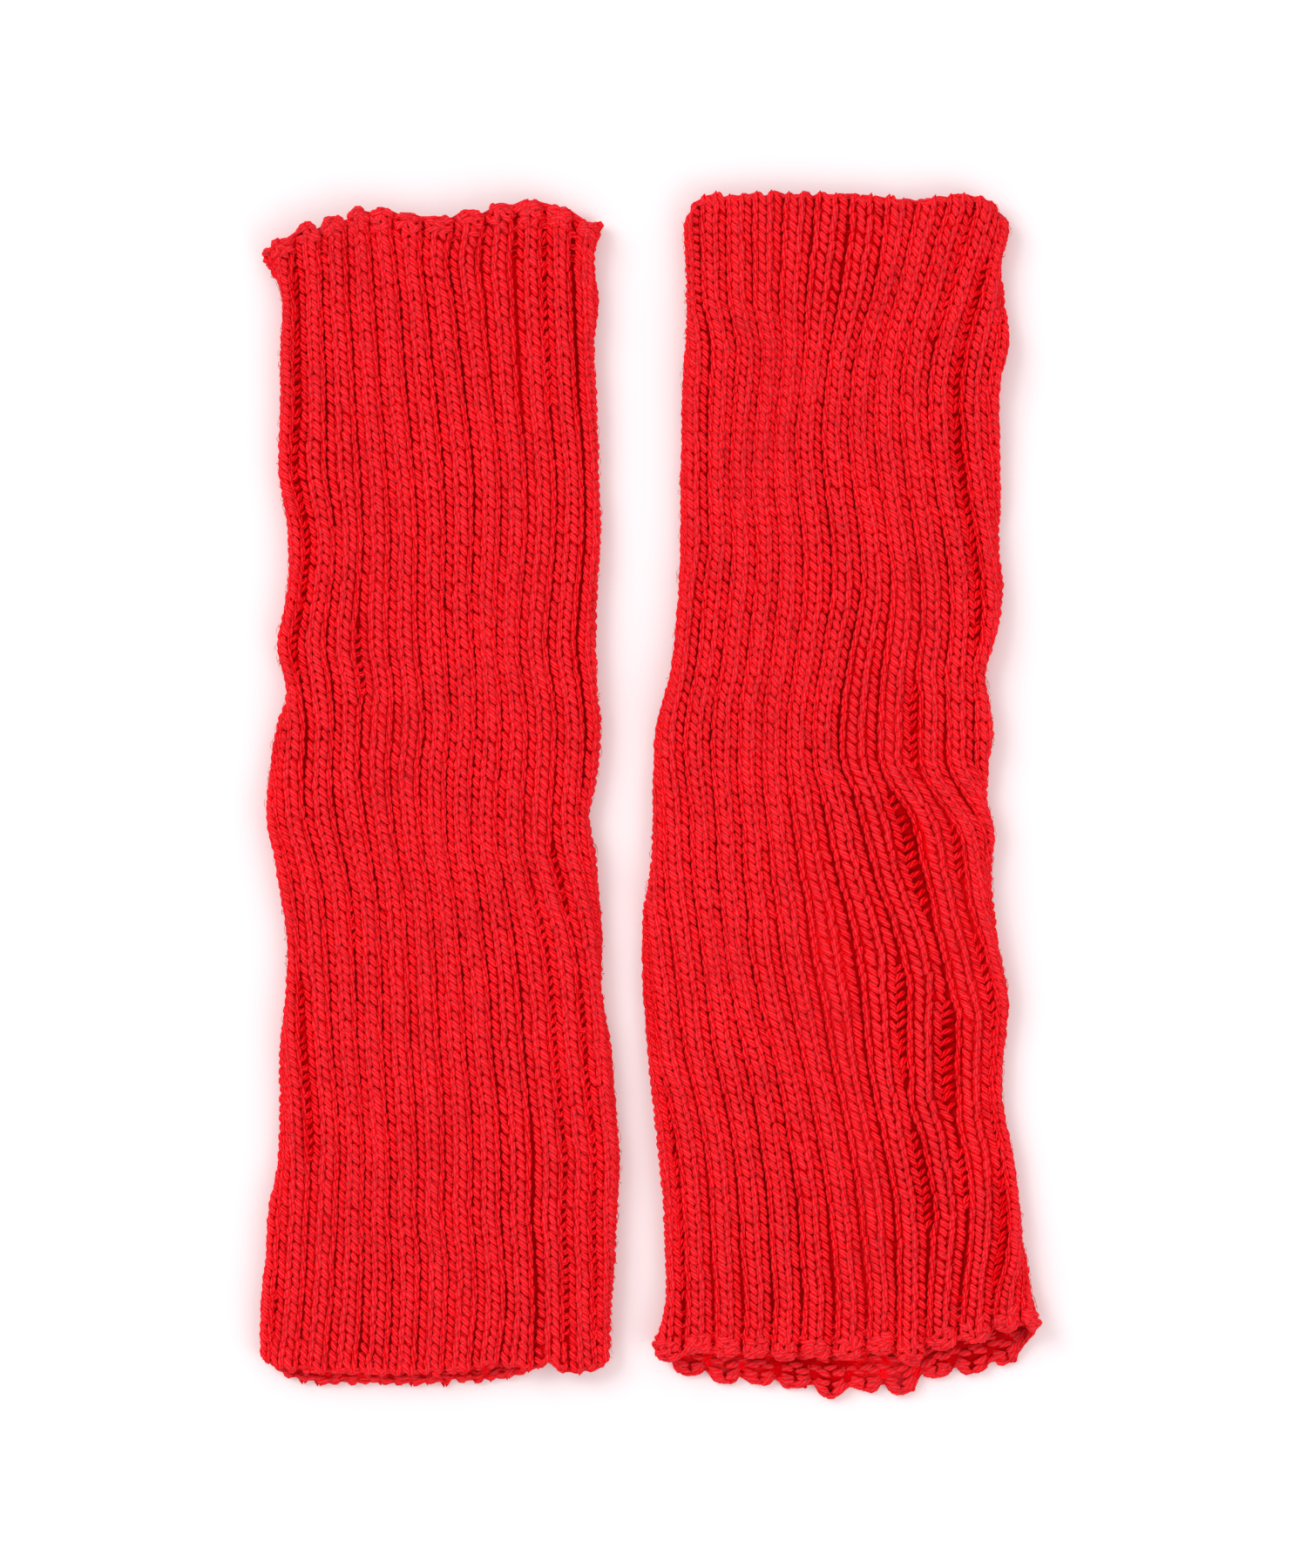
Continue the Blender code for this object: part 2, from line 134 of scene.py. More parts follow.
# How unevenly the lobes reach: middle and spread on the loose end, spread on the neat one, and form
LOBE_MIDDLE = 0.3
LOBE_SPREAD = 1.05
NEAT_SPREAD = 0.30
LOBE_ROUNDING = 1.8
NOTCH_SHARPNESS = 1.6

# The cloth's grid: places across a rib, courses along the tube and the distance that welds its seam
CLOTH_SHARES = (0.0, 0.22, 0.78, 1.0)
CLOTH_COURSES = 64
WELD = 0.01


class Section(NamedTuple):
    """Where a tube's edges, height and guide valleys lie at one place along it."""

    along: float
    left: float
    right: float
    high: float
    valley1: float
    valley3: float
    valley5: float
    valley7: float
    valley9: float


class Edge(NamedTuple):
    """How far along the front and the back layer reach at one place across."""

    across: float
    front: float
    back: float


class Opening(NamedTuple):
    """A stretch of a valley that the lay of the cloth pulls open."""

    valley: int
    start: float
    end: float
    width: float


class Fold(NamedTuple):
    """A soft trough or ridge; turn is in degrees from along the tube."""

    across: float
    along: float
    length: float
    width: float
    turn: float
    rise: float


class LegPoint(NamedTuple):
    """A point of one leg of a stitch: aside and up in its own measures, lift and girth in mm."""

    aside: float
    up: float
    lift: float
    girth: float


class StrandPoint(NamedTuple):
    """A point of a short strand: where it lies on the strand's run, and lift and girth in mm."""

    run: float
    lift: float
    girth: float


class Chain(NamedTuple):
    """A chain of stitches round an end's rim, each link from one share of a rib to another.

    The angles, in degrees round the rim, are those of its middle and from there to a link's legs.
    """

    links: tuple[tuple[float, float], ...]
    lean: float
    half: float
    swell: float
    girth: float


class Spread(NamedTuple):
    """How unevenly the strands of one kind lie, as standard deviations; girth is a share."""

    aside: float
    along: float
    lift: float
    girth: float


class Light(NamedTuple):
    """A square soft light: its place and side in metres, and its power in watts."""

    name: str
    place: tuple[float, float, float]
    side: float
    power: float


class End(Enum):
    """The two ends of a tube, by the way that the tube runs towards them."""

    TOP = 1.0
    BOTTOM = -1.0


def table(kind: type[Row], *rows: tuple[float, ...]) -> tuple[Row, ...]:
    """Rows of numbers as rows of one kind."""
    return tuple(kind(*row) for row in rows)


# Left tube: where its edges and five of its valleys lie, across from its own middle
LEFT_SECTIONS = table(
    Section,
    (194.4, -60.9, 55.8, 11, -49.8, -31.8, -16.2, 5.4, 26.4),
    (183, -59.7, 54, 10.6, -49.5, -31.2, -14.7, 3.3, 26.1),
    (171, -54.9, 55.2, 10, -49.2, -30.9, -13.5, 5.1, 26.4),
    (153, -55.5, 54, 9.6, -48.9, -29.7, -12.3, 7.2, 27.3),
    (135, -55.5, 54.9, 9.6, -48.6, -28.8, -10.8, 9.3, 28.2),
    (111, -55.8, 55.2, 9.4, -49.8, -27, -8.7, 12, 30.3),
    (87, -52.8, 56.1, 9.6, -45.3, -26.1, -7.2, 12, 30.3),
    (69, -53.1, 54.9, 9.8, -46.8, -27, -7.5, 11.4, 28.8),
    (49.5, -56.4, 54.6, 9.8, -50.1, -27.6, -6.9, 12.3, 27.6),
    (34.5, -53.4, 55.2, 10.6, -47.1, -25.8, -5.4, 12.9, 29.7),
    (24, -56.1, 56.1, 9.8, -45.6, -26.7, -4.8, 12.9, 30.6),
    (6, -58.8, 54.6, 9.6, -46.5, -27, -6.6, 11.7, 30),
    (-9, -59.7, 51.9, 10.2, -45.6, -25.2, -6, 11.1, 29.1),
    (-21, -57.6, 54, 10.6, -42.6, -23.1, -5.1, 11.7, 29.7),
    (-33, -55.8, 54.9, 10.2, -39.9, -21.3, -3, 13.5, 32.4),
    (-51, -52.8, 56.4, 9.8, -38.4, -20.1, -1.5, 15.6, 36.6),
    (-69, -53.7, 56.7, 9.6, -37.5, -19.5, -0.6, 17.4, 39),
    (-87, -55.5, 59.4, 9.6, -36.6, -19.2, 0.3, 18.3, 40.2),
    (-108, -55.2, 61.2, 9.6, -34.8, -18, 1.8, 20.4, 42),
    (-129, -56.1, 62.7, 9.6, -34.2, -16.8, 2.1, 21.3, 43.8),
    (-144, -59.1, 61.8, 9.8, -34.8, -17.1, 1.8, 21.3, 43.2),
    (-162, -60.3, 61.2, 9.6, -35.7, -16.2, 3.3, 22.5, 43.8),
    (-177, -61.8, 59.7, 9.8, -36.6, -16.2, 3, 23.1, 44.1),
    (-196.5, -61.8, 59.1, 10, -38.4, -17.4, 1.8, 20.7, 44.7),
)

# Right tube, the same way
RIGHT_SECTIONS = table(
    Section,
    (201, -52.5, 57.3, 10, -47.4, -29.7, -8.1, 15.9, 37.2),
    (195, -53.4, 59.4, 10, -47.4, -29.7, -8.7, 15.6, 35.1),
    (183, -52.8, 57.3, 9.8, -47.1, -29.4, -9.9, 14.1, 31.5),
    (171, -52.5, 57.9, 9.8, -46.8, -29.4, -11.1, 11.7, 28.2),
    (153, -52.8, 59.4, 10.8, -43.8, -26.4, -11.7, 6.3, 23.1),
    (141, -53.7, 56.4, 10.4, -44.4, -27, -12.9, 4.5, 21.3),
    (123, -54, 56.4, 9.6, -44.7, -28.8, -14.7, 3.6, 21.6),
    (105, -54.3, 56.4, 9.4, -44.7, -29.7, -14.1, 5.1, 23.7),
    (87, -54.3, 56.1, 9.6, -44.4, -28.2, -12.3, 7.5, 26.7),
    (69, -55.2, 57.6, 9.8, -46.5, -28.8, -12.3, 7.8, 28.5),
    (54, -56.4, 55.5, 10.4, -47.7, -30.6, -13.8, 4.8, 28.2),
    (40.5, -58.2, 51.6, 11, -49.5, -32.1, -15.6, 2.4, 26.7),
    (31.5, -60.6, 53.1, 10.6, -51.6, -33.9, -17.1, 0.9, 27),
    (21, -63, 54.6, 10, -53.1, -34.2, -17.7, 0, 27), (9, -63.3, 52.5, 10, -52.8, -34.5, -17.7, 0.9, 27.6),
    (0, -63.6, 51.9, 10.6, -51.6, -34.2, -17.1, 4.8, 32.4),
    (-12, -63.6, 54.3, 10.6, -51, -33, -15.6, 7.8, 39.9),
    (-27, -64.8, 53.4, 10.2, -50.4, -32.7, -13.5, 11.7, 42.6),
    (-39, -67.2, 54.3, 9.8, -49.2, -31.5, -11.4, 16.2, 44.7),
    (-54, -67.5, 56.7, 9.6, -47.1, -30.6, -9.6, 20.7, 49.2),
    (-72, -66.9, 59.4, 9.4, -45, -27.3, -6, 22.2, 54),
    (-90, -65.4, 57.6, 9.4, -42.9, -22.5, -3, 22.5, 54),
    (-105, -63.9, 57, 9.6, -39.3, -19.5, 0.3, 24, 53.4),
    (-123, -62.4, 60.6, 9.6, -36, -16.8, 3.9, 27.9, 56.4),
    (-144, -60.3, 63.6, 9.6, -34.2, -13.8, 6.9, 31.5, 57.9),
    (-159, -59.7, 65.4, 9.8, -33.6, -13.2, 8.4, 31.2, 56.7),
    (-174, -59.7, 67.5, 10.6, -32.7, -12.3, 9.9, 30.6, 53.7),
    (-183, -61.8, 70.2, 11, -32.7, -12.6, 9.9, 30.3, 53.1),
    (-192, -63.9, 65.7, 11.2, -33, -13.2, 9.6, 30.3, 53.1),
)

# The ends: how far along the front layer and the back layer reach, across from the tube's middle
LEFT_TOP = table(
    Edge,
    (-59.7, 187.8, 187.8), (-50.1, 194.1, 192), (-39.3, 196.8, 194), (-30.3, 199.5, 196),
    (-19.2, 200.7, 197), (-5.7, 198.6, 196), (12.3, 199.5, 196), (28.8, 202.2, 198), (36.3, 203.4, 199),
    (45.3, 200.4, 198), (55.2, 194.4, 194.4),
)
LEFT_BOTTOM = table(
    Edge,
    (-62.1, -195.6, -195.6), (-53.7, -198.6, -200.7), (-47.1, -199.5, -203.1), (-31.2, -200.4, -204),
    (-15, -200.4, -204), (5.1, -200.1, -203.4), (17.1, -197.7, -203.1), (25.5, -198, -201.6),
    (33, -198.9, -198.6), (37.2, -196.8, -196), (45.6, -200.4, -198), (53.1, -198.9, -198),
    (59.1, -196.5, -196.5),
)
RIGHT_TOP = table(
    Edge,
    (-53.4, 196.5, 196.5), (-47.4, 204.9, 203), (-39.9, 206.1, 204), (-20.4, 206.7, 204),
    (-9.9, 206.4, 204), (3.3, 206.7, 204), (15.6, 205.2, 203), (28.8, 204.6, 202), (42, 206.1, 203),
    (50.7, 204.6, 202), (56.1, 201.9, 200), (59.1, 195.9, 195.9),
)
RIGHT_BOTTOM = table(
    Edge,
    (-64.8, -190.5, -191.4), (-57.3, -195.6, -196.8), (-48.3, -193.8, -201.6), (-33.3, -195, -203.4),
    (-18.3, -195.3, -205.2), (-3.3, -195.9, -206.7), (13.2, -193.2, -206.1), (26.7, -195, -205.8),
    (35.7, -190.5, -201.3), (44.7, -188.1, -199.2), (53.7, -186, -197.7), (61.2, -183, -193.8),
    (69.3, -180.6, -184.5),
)

# Depth of the notch between two lobes of the loose edge, valley by valley all round from the first
LEFT_NOTCHES = (1.5, 2.0, 2.6, 3.2, 3.2, 2.0, 0.4, 0.9, 0.3, 0.3, 0.2, 0.1, 0.5, 1.5,
                1.8, 1.8, 1.8, 1.8, 1.8, 1.8, 1.8, 1.8, 1.8, 1.8)
RIGHT_NOTCHES = (1.6, 1.8, 1.4, 1.8, 1.2, 1.8, 1.4, 1.6, 1.2, 1.6, 1.0, 1.2, 1.4, 1.6,
                 2.4, 3.2, 3.4, 2.8, 3.6, 3.0, 3.6, 3.2, 3.4, 2.6)

# Valleys that the lay of the cloth pulls open, and how wide each then is
LEFT_OPENINGS = table(
    Opening,
    (1, 190, 36, 4), (1, 34, 0, 2), (3, 64, 28, 2.6), (9, 205, 120, 2.2), (10, 205, 125, 2.4),
    (11, 205, -12, 2.2), (2, -25, -62, 2.4), (10, -12, -48, 3.4), (0, -58, -132, 3.8),
    (8, -110, -192, 2.2), (9, -25, -198, 2.4), (10, -60, -198, 2.6), (-1, -165, -198, 2.6),
)
RIGHT_OPENINGS = table(
    Opening,
    (1, 170, 118, 1.8), (6, 200, 172, 2), (7, 192, 172, 2), (10, 206, 148, 2.4), (11, 190, 44, 4),
    (9, 42, 4, 3.8), (10, 28, -12, 2.2), (8, 4, -46, 4.4), (9, -4, -36, 2.6), (7, -54, -106, 3.2),
    (8, -68, -114, 4.6), (9, -42, -130, 2.4), (7, -112, -156, 4), (8, -116, -152, 2.4),
    (9, -126, -184, 4.2), (-1, -34, -94, 3.6), (-1, -94, -184, 2.6), (0, -160, -192, 1.7),
    (1, -160, -192, 1.8), (4, -140, -192, 1.6), (5, -160, -192, 1.6),
)

# Soft troughs and ridges of the upper layer
LEFT_FOLDS = table(
    Fold,
    (-40, 38, 26, 9, 75, -1), (-50, -14, 34, 10, 55, 0.9), (-24, 46, 20, 4, 5, -1),
    (42, -26, 26, 8, -30, 1), (48, -84, 40, 8, -5, 0.7), (10, 120, 60, 14, -12, 0.6),
    (-34, 70, 34, 5, 3, 1.2), (-35, -30, 30, 4, -12, -1), (33, -140, 70, 5, -4, 0.9),
    (46, -150, 60, 3.5, -3, -0.9), (40, 160, 50, 5, -3, 0.8), (-42, 160, 60, 5, 0, 0.8),
)
RIGHT_FOLDS = table(
    Fold,
    (46, 150, 30, 8, 40, 1.1), (34, 160, 26, 5, 25, -1), (34, 45, 24, 8, -75, 1.2),
    (28, 24, 24, 5, 0, -1), (26, -6, 34, 8, -35, 1), (-56, 26, 30, 9, 20, 0.8),
    (-16, -76, 60, 12, -18, 0.6), (60, -176, 20, 10, 40, 0.8), (17, 6, 30, 4.5, 12, 1.4),
    (36, 4, 26, 4, 28, 1.3), (26, -12, 26, 3.5, 30, -1.4), (43, -30, 50, 3.5, 14, -1.3),
    (50, -34, 50, 4.5, 14, 1.2), (24, -120, 60, 4.5, 4, 1.2), (38, -120, 60, 4, 6, -1.2),
    (45, -130, 50, 4.5, 6, 1.1), (18, 90, 60, 6, -6, 0.7), (42, 110, 50, 4, -8, -1),
)

# The two legs of a knit V, from where each comes up through the stitch before it to where it goes
# under the next. The yarn's twist lays one as a short plump slanted bump and the other almost
# straight along the rib, so that the straight ones run on as a strand.
SLANTED_LEG = table(
    LegPoint,
    (0.03, -0.68, -2, 0), (0.07, -0.45, -1.22, 0.88), (0.17, -0.12, -0.8, 1.18), (0.29, 0.22, -0.8, 1.2),
    (0.37, 0.52, -1.05, 1), (0.41, 0.84, -1.9, 0),
)
STRAIGHT_LEG = table(
    LegPoint,
    (0.14, -0.92, -1.95, 0), (0.2, -0.5, -1.02, 1), (0.28, 0.08, -0.8, 1.2), (0.32, 0.56, -1.05, 1.05),
    (0.31, 0.96, -1.95, 0),
)
PLAIN_SLANTED_LEG = table(
    LegPoint,
    (-0.02, -0.76, -2, 0), (0.03, -0.44, -1.1, 0.92), (0.2, 0, -0.76, 1.12), (0.37, 0.38, -1.05, 0.95),
    (0.46, 0.76, -2, 0),
)

# The ribs that show on top and below, the places of a rib's two columns of V's, and the yarn's sides
UPPER_RIBS = tuple(range(-2, 13))
UNDER_RIBS = tuple(range(13, 22))
LEFT_HALF = 8
WALES = (0.25, 0.75)
UPPER_SIDES = 5
UNDER_SIDES = 4
EDGE_SIDES = 6
FIBRE_SIDES = 3
YARN_FLATTEN = 0.90
START_SPAN = 30.0

# How V's sway and vary: reach in rows, turn by row and turns of the phase, then their own spreads
SWAYS = ((0.18, 0.19, 1.0), (0.08, 0.43, 2.0))
STITCH_SPREAD = Spread(0.012, 0.06, 0.10, 0.07)
LEG_WIDTH_SPREAD = 0.08
LEG_ALONG_SPREAD = 0.05

# Purl arcs over the floors of valleys at least so wide: how much deeper than they lie their painted
# shade is set, how far past the floor they reach, and their tilt and bow
ARCS_FROM = 1.8
ARC_SHADE = 0.4
ARC_POINTS = table(
    StrandPoint,
    (-1.15, -1.5, 0), (-0.80, -0.55, 0.90), (-0.34, -0.35, 1.14),
    (0.14, -0.55, 1.10), (0.52, -1.05, 0.85), (0.80, -1.9, 0),
)
ARC_SPREAD = Spread(0.0, 0.25, 0.15, 0.12)
ARC_PAST = 0.5
ARC_TILT = 1.5
ARC_TILT_SPREAD = 0.4
ARC_BOW = 0.8
ARC_BOW_SPREAD = 0.25

# Purl bumps on the inner side, in rows that stagger after the first few; at each end, the pitch of
# the rows and half a bump's length. By the loose mouth they are larger, and a painted shade darkens
# them further inside the tube.
BUMP_POINTS = table(
    StrandPoint, (-1, -0.9, 0), (-0.55, -0.15, 0.80), (0, 0.2, 0.95), (0.55, -0.15, 0.80), (1, -0.9, 0),
)
BUMP_SPREAD = Spread(0.02, 0.25, 0.25, 0.10)
BUMP_BACK = 1.6
BUMP_BOW = 0.45
BUMP_TILT_SPREAD = 0.45
BOUND_BUMPS = (2.2, 0.26)
CAST_BUMPS = (1.8, 0.24)
STAGGER = 0.25
STAGGER_FROM = 2
MOUTH_BACK = 5.0
MOUTH_FADE = 6.0
MOUTH_GIRTH = 1.25
MOUTH_MORE = 0.30
MOUTH_LUMP = 1.2
MOUTH_LOWER = 0.5
INSIDE_SHADE_START = 3.0
INSIDE_SHADE_LOOSE = 7.5
INSIDE_SHADE_SLOPE = 0.40
INSIDE_SHADE_LEAST = 0.2

# Knots over each lobe of the loose edge: share of the way across a rib, and distance from the rim
KNOTS = ((0.22, 1.6), (0.76, 2.0), (0.48, 3.2), (0.26, 4.2), (0.78, 4.6), (0.34, 5.8), (0.66, 6.4))
KNOT_POINTS = table(
    StrandPoint, (-1, -1.9, 0), (-0.6, -0.75, 0.95), (0, -0.20, 1.15), (0.6, -0.75, 0.95), (1, -1.9, 0),
)
KNOT_SPREAD = Spread(0.05, 0.45, 0.30, 0.12)
KNOT_TURN = 0.3
KNOT_TURN_SPREAD = 0.6
KNOT_HALF = (1.7, 2.6)
KNOT_BOW = 0.4
KNOT_MARGIN = 0.02

# Chains of stitches along the rims, whose links vary aside in degrees round the rim
LINK_LEG = table(
    LegPoint,
    (0.1, -0.25, -1, 0), (0.3, 0.02, -0.35, 0.7), (0.9, 0.34, 0.05, 1),
    (1, 0.66, 0.05, 1.04), (0.8, 0.98, -0.4, 0.76), (0.4, 1.22, -1.1, 0),
)
CHAIN_SPREAD = Spread(13.0, 0.04, 0.25, 0.13)
# How much higher than they lie the chains count for their painted shade, in millimetres, which paints
# them lighter
CHAIN_SHADE = 0.2
PAIR_OF_LINKS = ((0.04, 0.50), (0.50, 0.96))
EVEN_LINKS = ((0.0, 0.33), (0.33, 0.67), (0.67, 1.0))
BOUND_CHAINS = (
    Chain(PAIR_OF_LINKS, 60.0, 28.0, 1.20, 1.15),
    Chain(((0.02, 0.35), (0.35, 0.67), (0.67, 0.98)), 4.0, 24.0, 1.0, 1.05),
    Chain(PAIR_OF_LINKS, -52.0, 28.0, 1.15, 1.10),
)
CAST_CHAINS = (Chain(EVEN_LINKS, 38.0, 34.0, 0.95, 0.85), Chain(EVEN_LINKS, -38.0, 34.0, 1.0, 0.95))

# Loose fibres: run, share of the rise and girth of each point, and the ranges of their measures
LOOSE_FIBRES = 2600
FIBRE_POINTS = table(StrandPoint, (-1, 0, 0), (-0.4, 1, 1), (0.4, 1, 1), (1, 0.5, 0))
FIBRE_ROOT = -0.3
FIBRE_HALF = (1.2, 2.8)
FIBRE_RISE = (0.3, 0.9)
FIBRE_GIRTH = (0.07, 0.11)
FIBRE_SHARES = (0.05, 0.95)
FIBRE_CURL_SPREAD = 0.9

# The soft lights, from the upper left and from the right
KEY_LIGHT = Light("key", (-2.4, 1.6, 2.7), 2.2, 72.0)
FILL_LIGHT = Light("fill", (1.7, -1.3, 1.8), 1.6, 18.0)


def smooth(amount: Array) -> Array:
    """Ease from 0 to 1.

    Args:
        amount: Where each value lies, below 0 and above 1 being held.

    Returns:
        The eased values.
    """
    held = np.clip(amount, 0.0, 1.0)
    return held * held * (3.0 - 2.0 * held)


def through(rows: Sequence[NamedTuple], at_name: str, name: str, at: Array) -> Array:
    """Smooth curve through one column of a table, level beyond its ends.

    Args:
        rows: The table.
        at_name: Column that places the rows.
        name: Column that is read.
        at: Where it is read.

    Returns:
        The column's values there.
    """
    order = sorted(rows, key=lambda row: getattr(row, at_name))
    knots, values = columns([(getattr(row, at_name), getattr(row, name)) for row in order])
    slopes = np.gradient(values, knots)
    low = np.clip(np.searchsorted(knots, at) - 1, 0, len(knots) - 2)
    span = knots[low + 1] - knots[low]
    t = np.clip((at - knots[low]) / span, 0.0, 1.0)
    rise = t * t * (3.0 - 2.0 * t)
    bend = slopes[low] * t * (1.0 - t) ** 2 - slopes[low + 1] * t * t * (1.0 - t)
    return values[low] * (1.0 - rise) + values[low + 1] * rise + bend * span


def columns(rows: Sequence[Sequence[float]]) -> Array:
    """The columns of a table, one after another."""
    return np.array(rows, dtype=float).T


def pairs(first: int, second: int) -> tuple[Array, Array]:
    """Every pair of two whole numbers from 0, the second counting faster, as two columns."""
    return np.divmod(np.arange(first * second)[:, None], second)


def unit(vectors: Array) -> Array:
    """Vectors of length 1, the same way."""
    return vectors / np.maximum(np.linalg.norm(vectors, axis=-1, keepdims=True), 1e-9)


def deselect_all() -> None:
    """Leave nothing selected or active."""
    for found in bpy.context.view_layer.objects:
        found.select_set(False)
    bpy.context.view_layer.objects.active = None


def linear(hex_colour: str) -> tuple[float, float, float, float]:
    """An sRGB hex colour as linear light.

    Args:
        hex_colour: Six hex digits after a hash.

    Returns:
        Red, green, blue and alpha.
    """
    parts = [int(hex_colour[start:start + 2], 16) / 255.0 for start in (1, 3, 5)]
    turned = [part / 12.92 if part <= 0.04045 else ((part + 0.055) / 1.055) ** 2.4 for part in parts]
    return (turned[0], turned[1], turned[2], 1.0)


def add_node(material: bpy.types.Material, kind: str, inputs: dict | None = None,
             **settings: object) -> bpy.types.ShaderNode:
    """Add a shader node with its settings and links.

    Args:
        material: Material that it goes into.
        kind: The node's type, after ShaderNode.
        inputs: What its inputs take, by name or number: a value, an output, or a node's first one.
        settings: The node's own properties.

    Returns:
        The node.
    """
    tree = material.node_tree
    node = tree.nodes.new("ShaderNode" + kind)
    for name, value in settings.items():
        setattr(node, name, value)
    for name, value in (inputs or {}).items():
        if isinstance(value, bpy.types.Node):
            value = value.outputs[0]
        if isinstance(value, bpy.types.NodeSocket):
            tree.links.new(value, node.inputs[name])
        else:
            node.inputs[name].default_value = value
    return node


def principled(name: str, values: dict) -> tuple[bpy.types.Material, bpy.types.ShaderNode]:
    """Start a material.

    Args:
        name: The material's name.
        values: Values of its shader's inputs, by name.

    Returns:
        The material and its principled shader.
    """
    made = bpy.data.materials.new(name)
    made.use_nodes = True
    shader = made.node_tree.nodes["Principled BSDF"]
    for socket, value in values.items():
        shader.inputs[socket].default_value = value
    return made, shader


@dataclass(frozen=True)
class SpunYarn:
    """Soft plied acrylic yarn, spun and dyed in one bright red, with a short nap.

    The plies twist round the yarn as fine slanted lines, loose fibres blur them, and the nap gives
    the soft light edge of knitwear in place of a gloss. Its colour holds painted shade and a painted
    sheen: by each point's depth below the rib crowns the ramp runs from a dark deep red on the valleys'
    floors and between strands to a paler, pinker red on the crowns. The ply lines and fibre noise
    that raise the bumps also paint what they raise lighter, partly random tone, partly painted shade.
    """

    name: str = "plied_acrylic_yarn_dyed_red"
    painted_shade_and_sheen: tuple[tuple[float, str], ...] = (
        (0.10, "#C0020A"), (0.30, "#DE020A"), (0.40, "#F8050F"), (0.64, "#E22B34"), (1.0, "#E23E48"))
    roughness: float = 0.92
    nap: float = 0.02
    nap_roughness: float = 0.45
    nap_tint: str = "#FF3028"
    gloss: float = 0.02
    plies: float = 5.0
    twist_mm: float = 3.0
    ply_share: float = 0.22
    tone_range: tuple[float, float] = (0.25, 0.80)
    # How far the painted shade darkens the ramp per unit of depth, and the ramp's darkest level
    depth_shade: float = 0.64
    deepest: float = -0.6
    fibre_mm: float = 0.55
    patch_mm: float = 14.0
    patch_range: tuple[float, float] = (0.3, 0.7)
    patch_shades: tuple[float, float] = (0.93, 1.04)
    ply_depth_mm: float = 0.06
    ply_strength: float = 0.6
    fibre_depth_mm: float = 0.12
    fibre_strength: float = 0.7
    glow: float = 0.5
    glow_mm: float = 0.8
    glow_reach: tuple[float, float, float] = (1.0, 0.12, 0.10)

    def make(self) -> bpy.types.Material:
        """Make the material.

        Returns:
            The finished material, which reads each strand's own UV map and Object coordinates.
        """
        made, shader = principled(self.name, {
            "Roughness": self.roughness, "Specular IOR Level": self.gloss, "Sheen Weight": self.nap,
            "Sheen Roughness": self.nap_roughness, "Sheen Tint": linear(self.nap_tint),
            "Subsurface Weight": self.glow, "Subsurface Radius": self.glow_reach,
            "Subsurface Scale": self.glow_mm * MM})
        place = add_node(made, "TexCoord").outputs
        strand = add_node(made, "SeparateXYZ", {0: place["UV"]}).outputs
        around = add_node(made, "Math", {0: strand["X"], 1: self.plies}, operation="MULTIPLY")
        turned = add_node(made, "Math", {0: strand["Y"], 1: 1.0 / self.twist_mm, 2: around},
                          operation="MULTIPLY_ADD")
        angle = add_node(made, "Math", {0: turned, 1: math.tau}, operation="MULTIPLY")
        ply = add_node(made, "Math", {0: angle}, operation="SINE")
        fibres = add_node(made, "TexNoise", {"Vector": place["Object"], "Roughness": 0.6,
                                             "Scale": 1.0 / (self.fibre_mm * MM), "Detail": 3.0})
        patches = add_node(made, "TexNoise", {"Vector": place["Object"],
                                              "Scale": 1.0 / (self.patch_mm * MM), "Detail": 2.0})
        # Ply lines and fibre noise lift the colour where they raise the bumps: random tone, and painted
        # shade in the fine grooves
        blend = add_node(made, "Math", {0: ply, 1: self.ply_share, 2: fibres},
                         operation="MULTIPLY_ADD")
        tone = add_node(made, "MapRange", {"Value": blend, "From Min": self.tone_range[0],
                                           "From Max": self.tone_range[1]})
        # Painted shade: the deeper a point lies below the rib crowns, the further down the ramp it goes,
        # to a darker, deeper red
        depth = add_node(made, "Attribute", attribute_name=SHADE_DEPTH_ATTRIBUTE).outputs["Fac"]
        sunk = add_node(made, "Math", {0: depth, 1: -self.depth_shade, 2: tone},
                        operation="MULTIPLY_ADD")
        level = add_node(made, "MapRange", {"Value": sunk, "From Min": self.deepest})
        ramp = add_node(made, "ValToRGB", {"Fac": level})
        self.paint(ramp.color_ramp.elements)
        shade = add_node(made, "MapRange", {
            "Value": patches, "From Min": self.patch_range[0], "From Max": self.patch_range[1],
            "To Min": self.patch_shades[0], "To Max": self.patch_shades[1]})
        toned = add_node(made, "VectorMath", {0: ramp, "Scale": shade}, operation="SCALE")
        lines = add_node(made, "Bump", {"Height": ply, "Strength": self.ply_strength,
                                        "Distance": self.ply_depth_mm * MM})
        fuzz = add_node(made, "Bump", {"Height": fibres, "Strength": self.fibre_strength,
                                       "Distance": self.fibre_depth_mm * MM, "Normal": lines})
        made.node_tree.links.new(toned.outputs[0], shader.inputs["Base Color"])
        made.node_tree.links.new(fuzz.outputs[0], shader.inputs["Normal"])
        return made

    def paint(self, stops: bpy.types.ColorRampElements) -> None:
        """Set a new ramp's stops to the yarn's colours, from painted shade to painted sheen.

        Args:
            stops: The ramp's stops, which are two to start with.
        """
        for stop, (place, colour) in ((stops[0], self.painted_shade_and_sheen[0]), (stops[1], self.painted_shade_and_sheen[-1])):
            stop.position = place
            stop.color = linear(colour)
        for place, colour in self.painted_shade_and_sheen[1:-1]:
            stops.new(place).color = linear(colour)


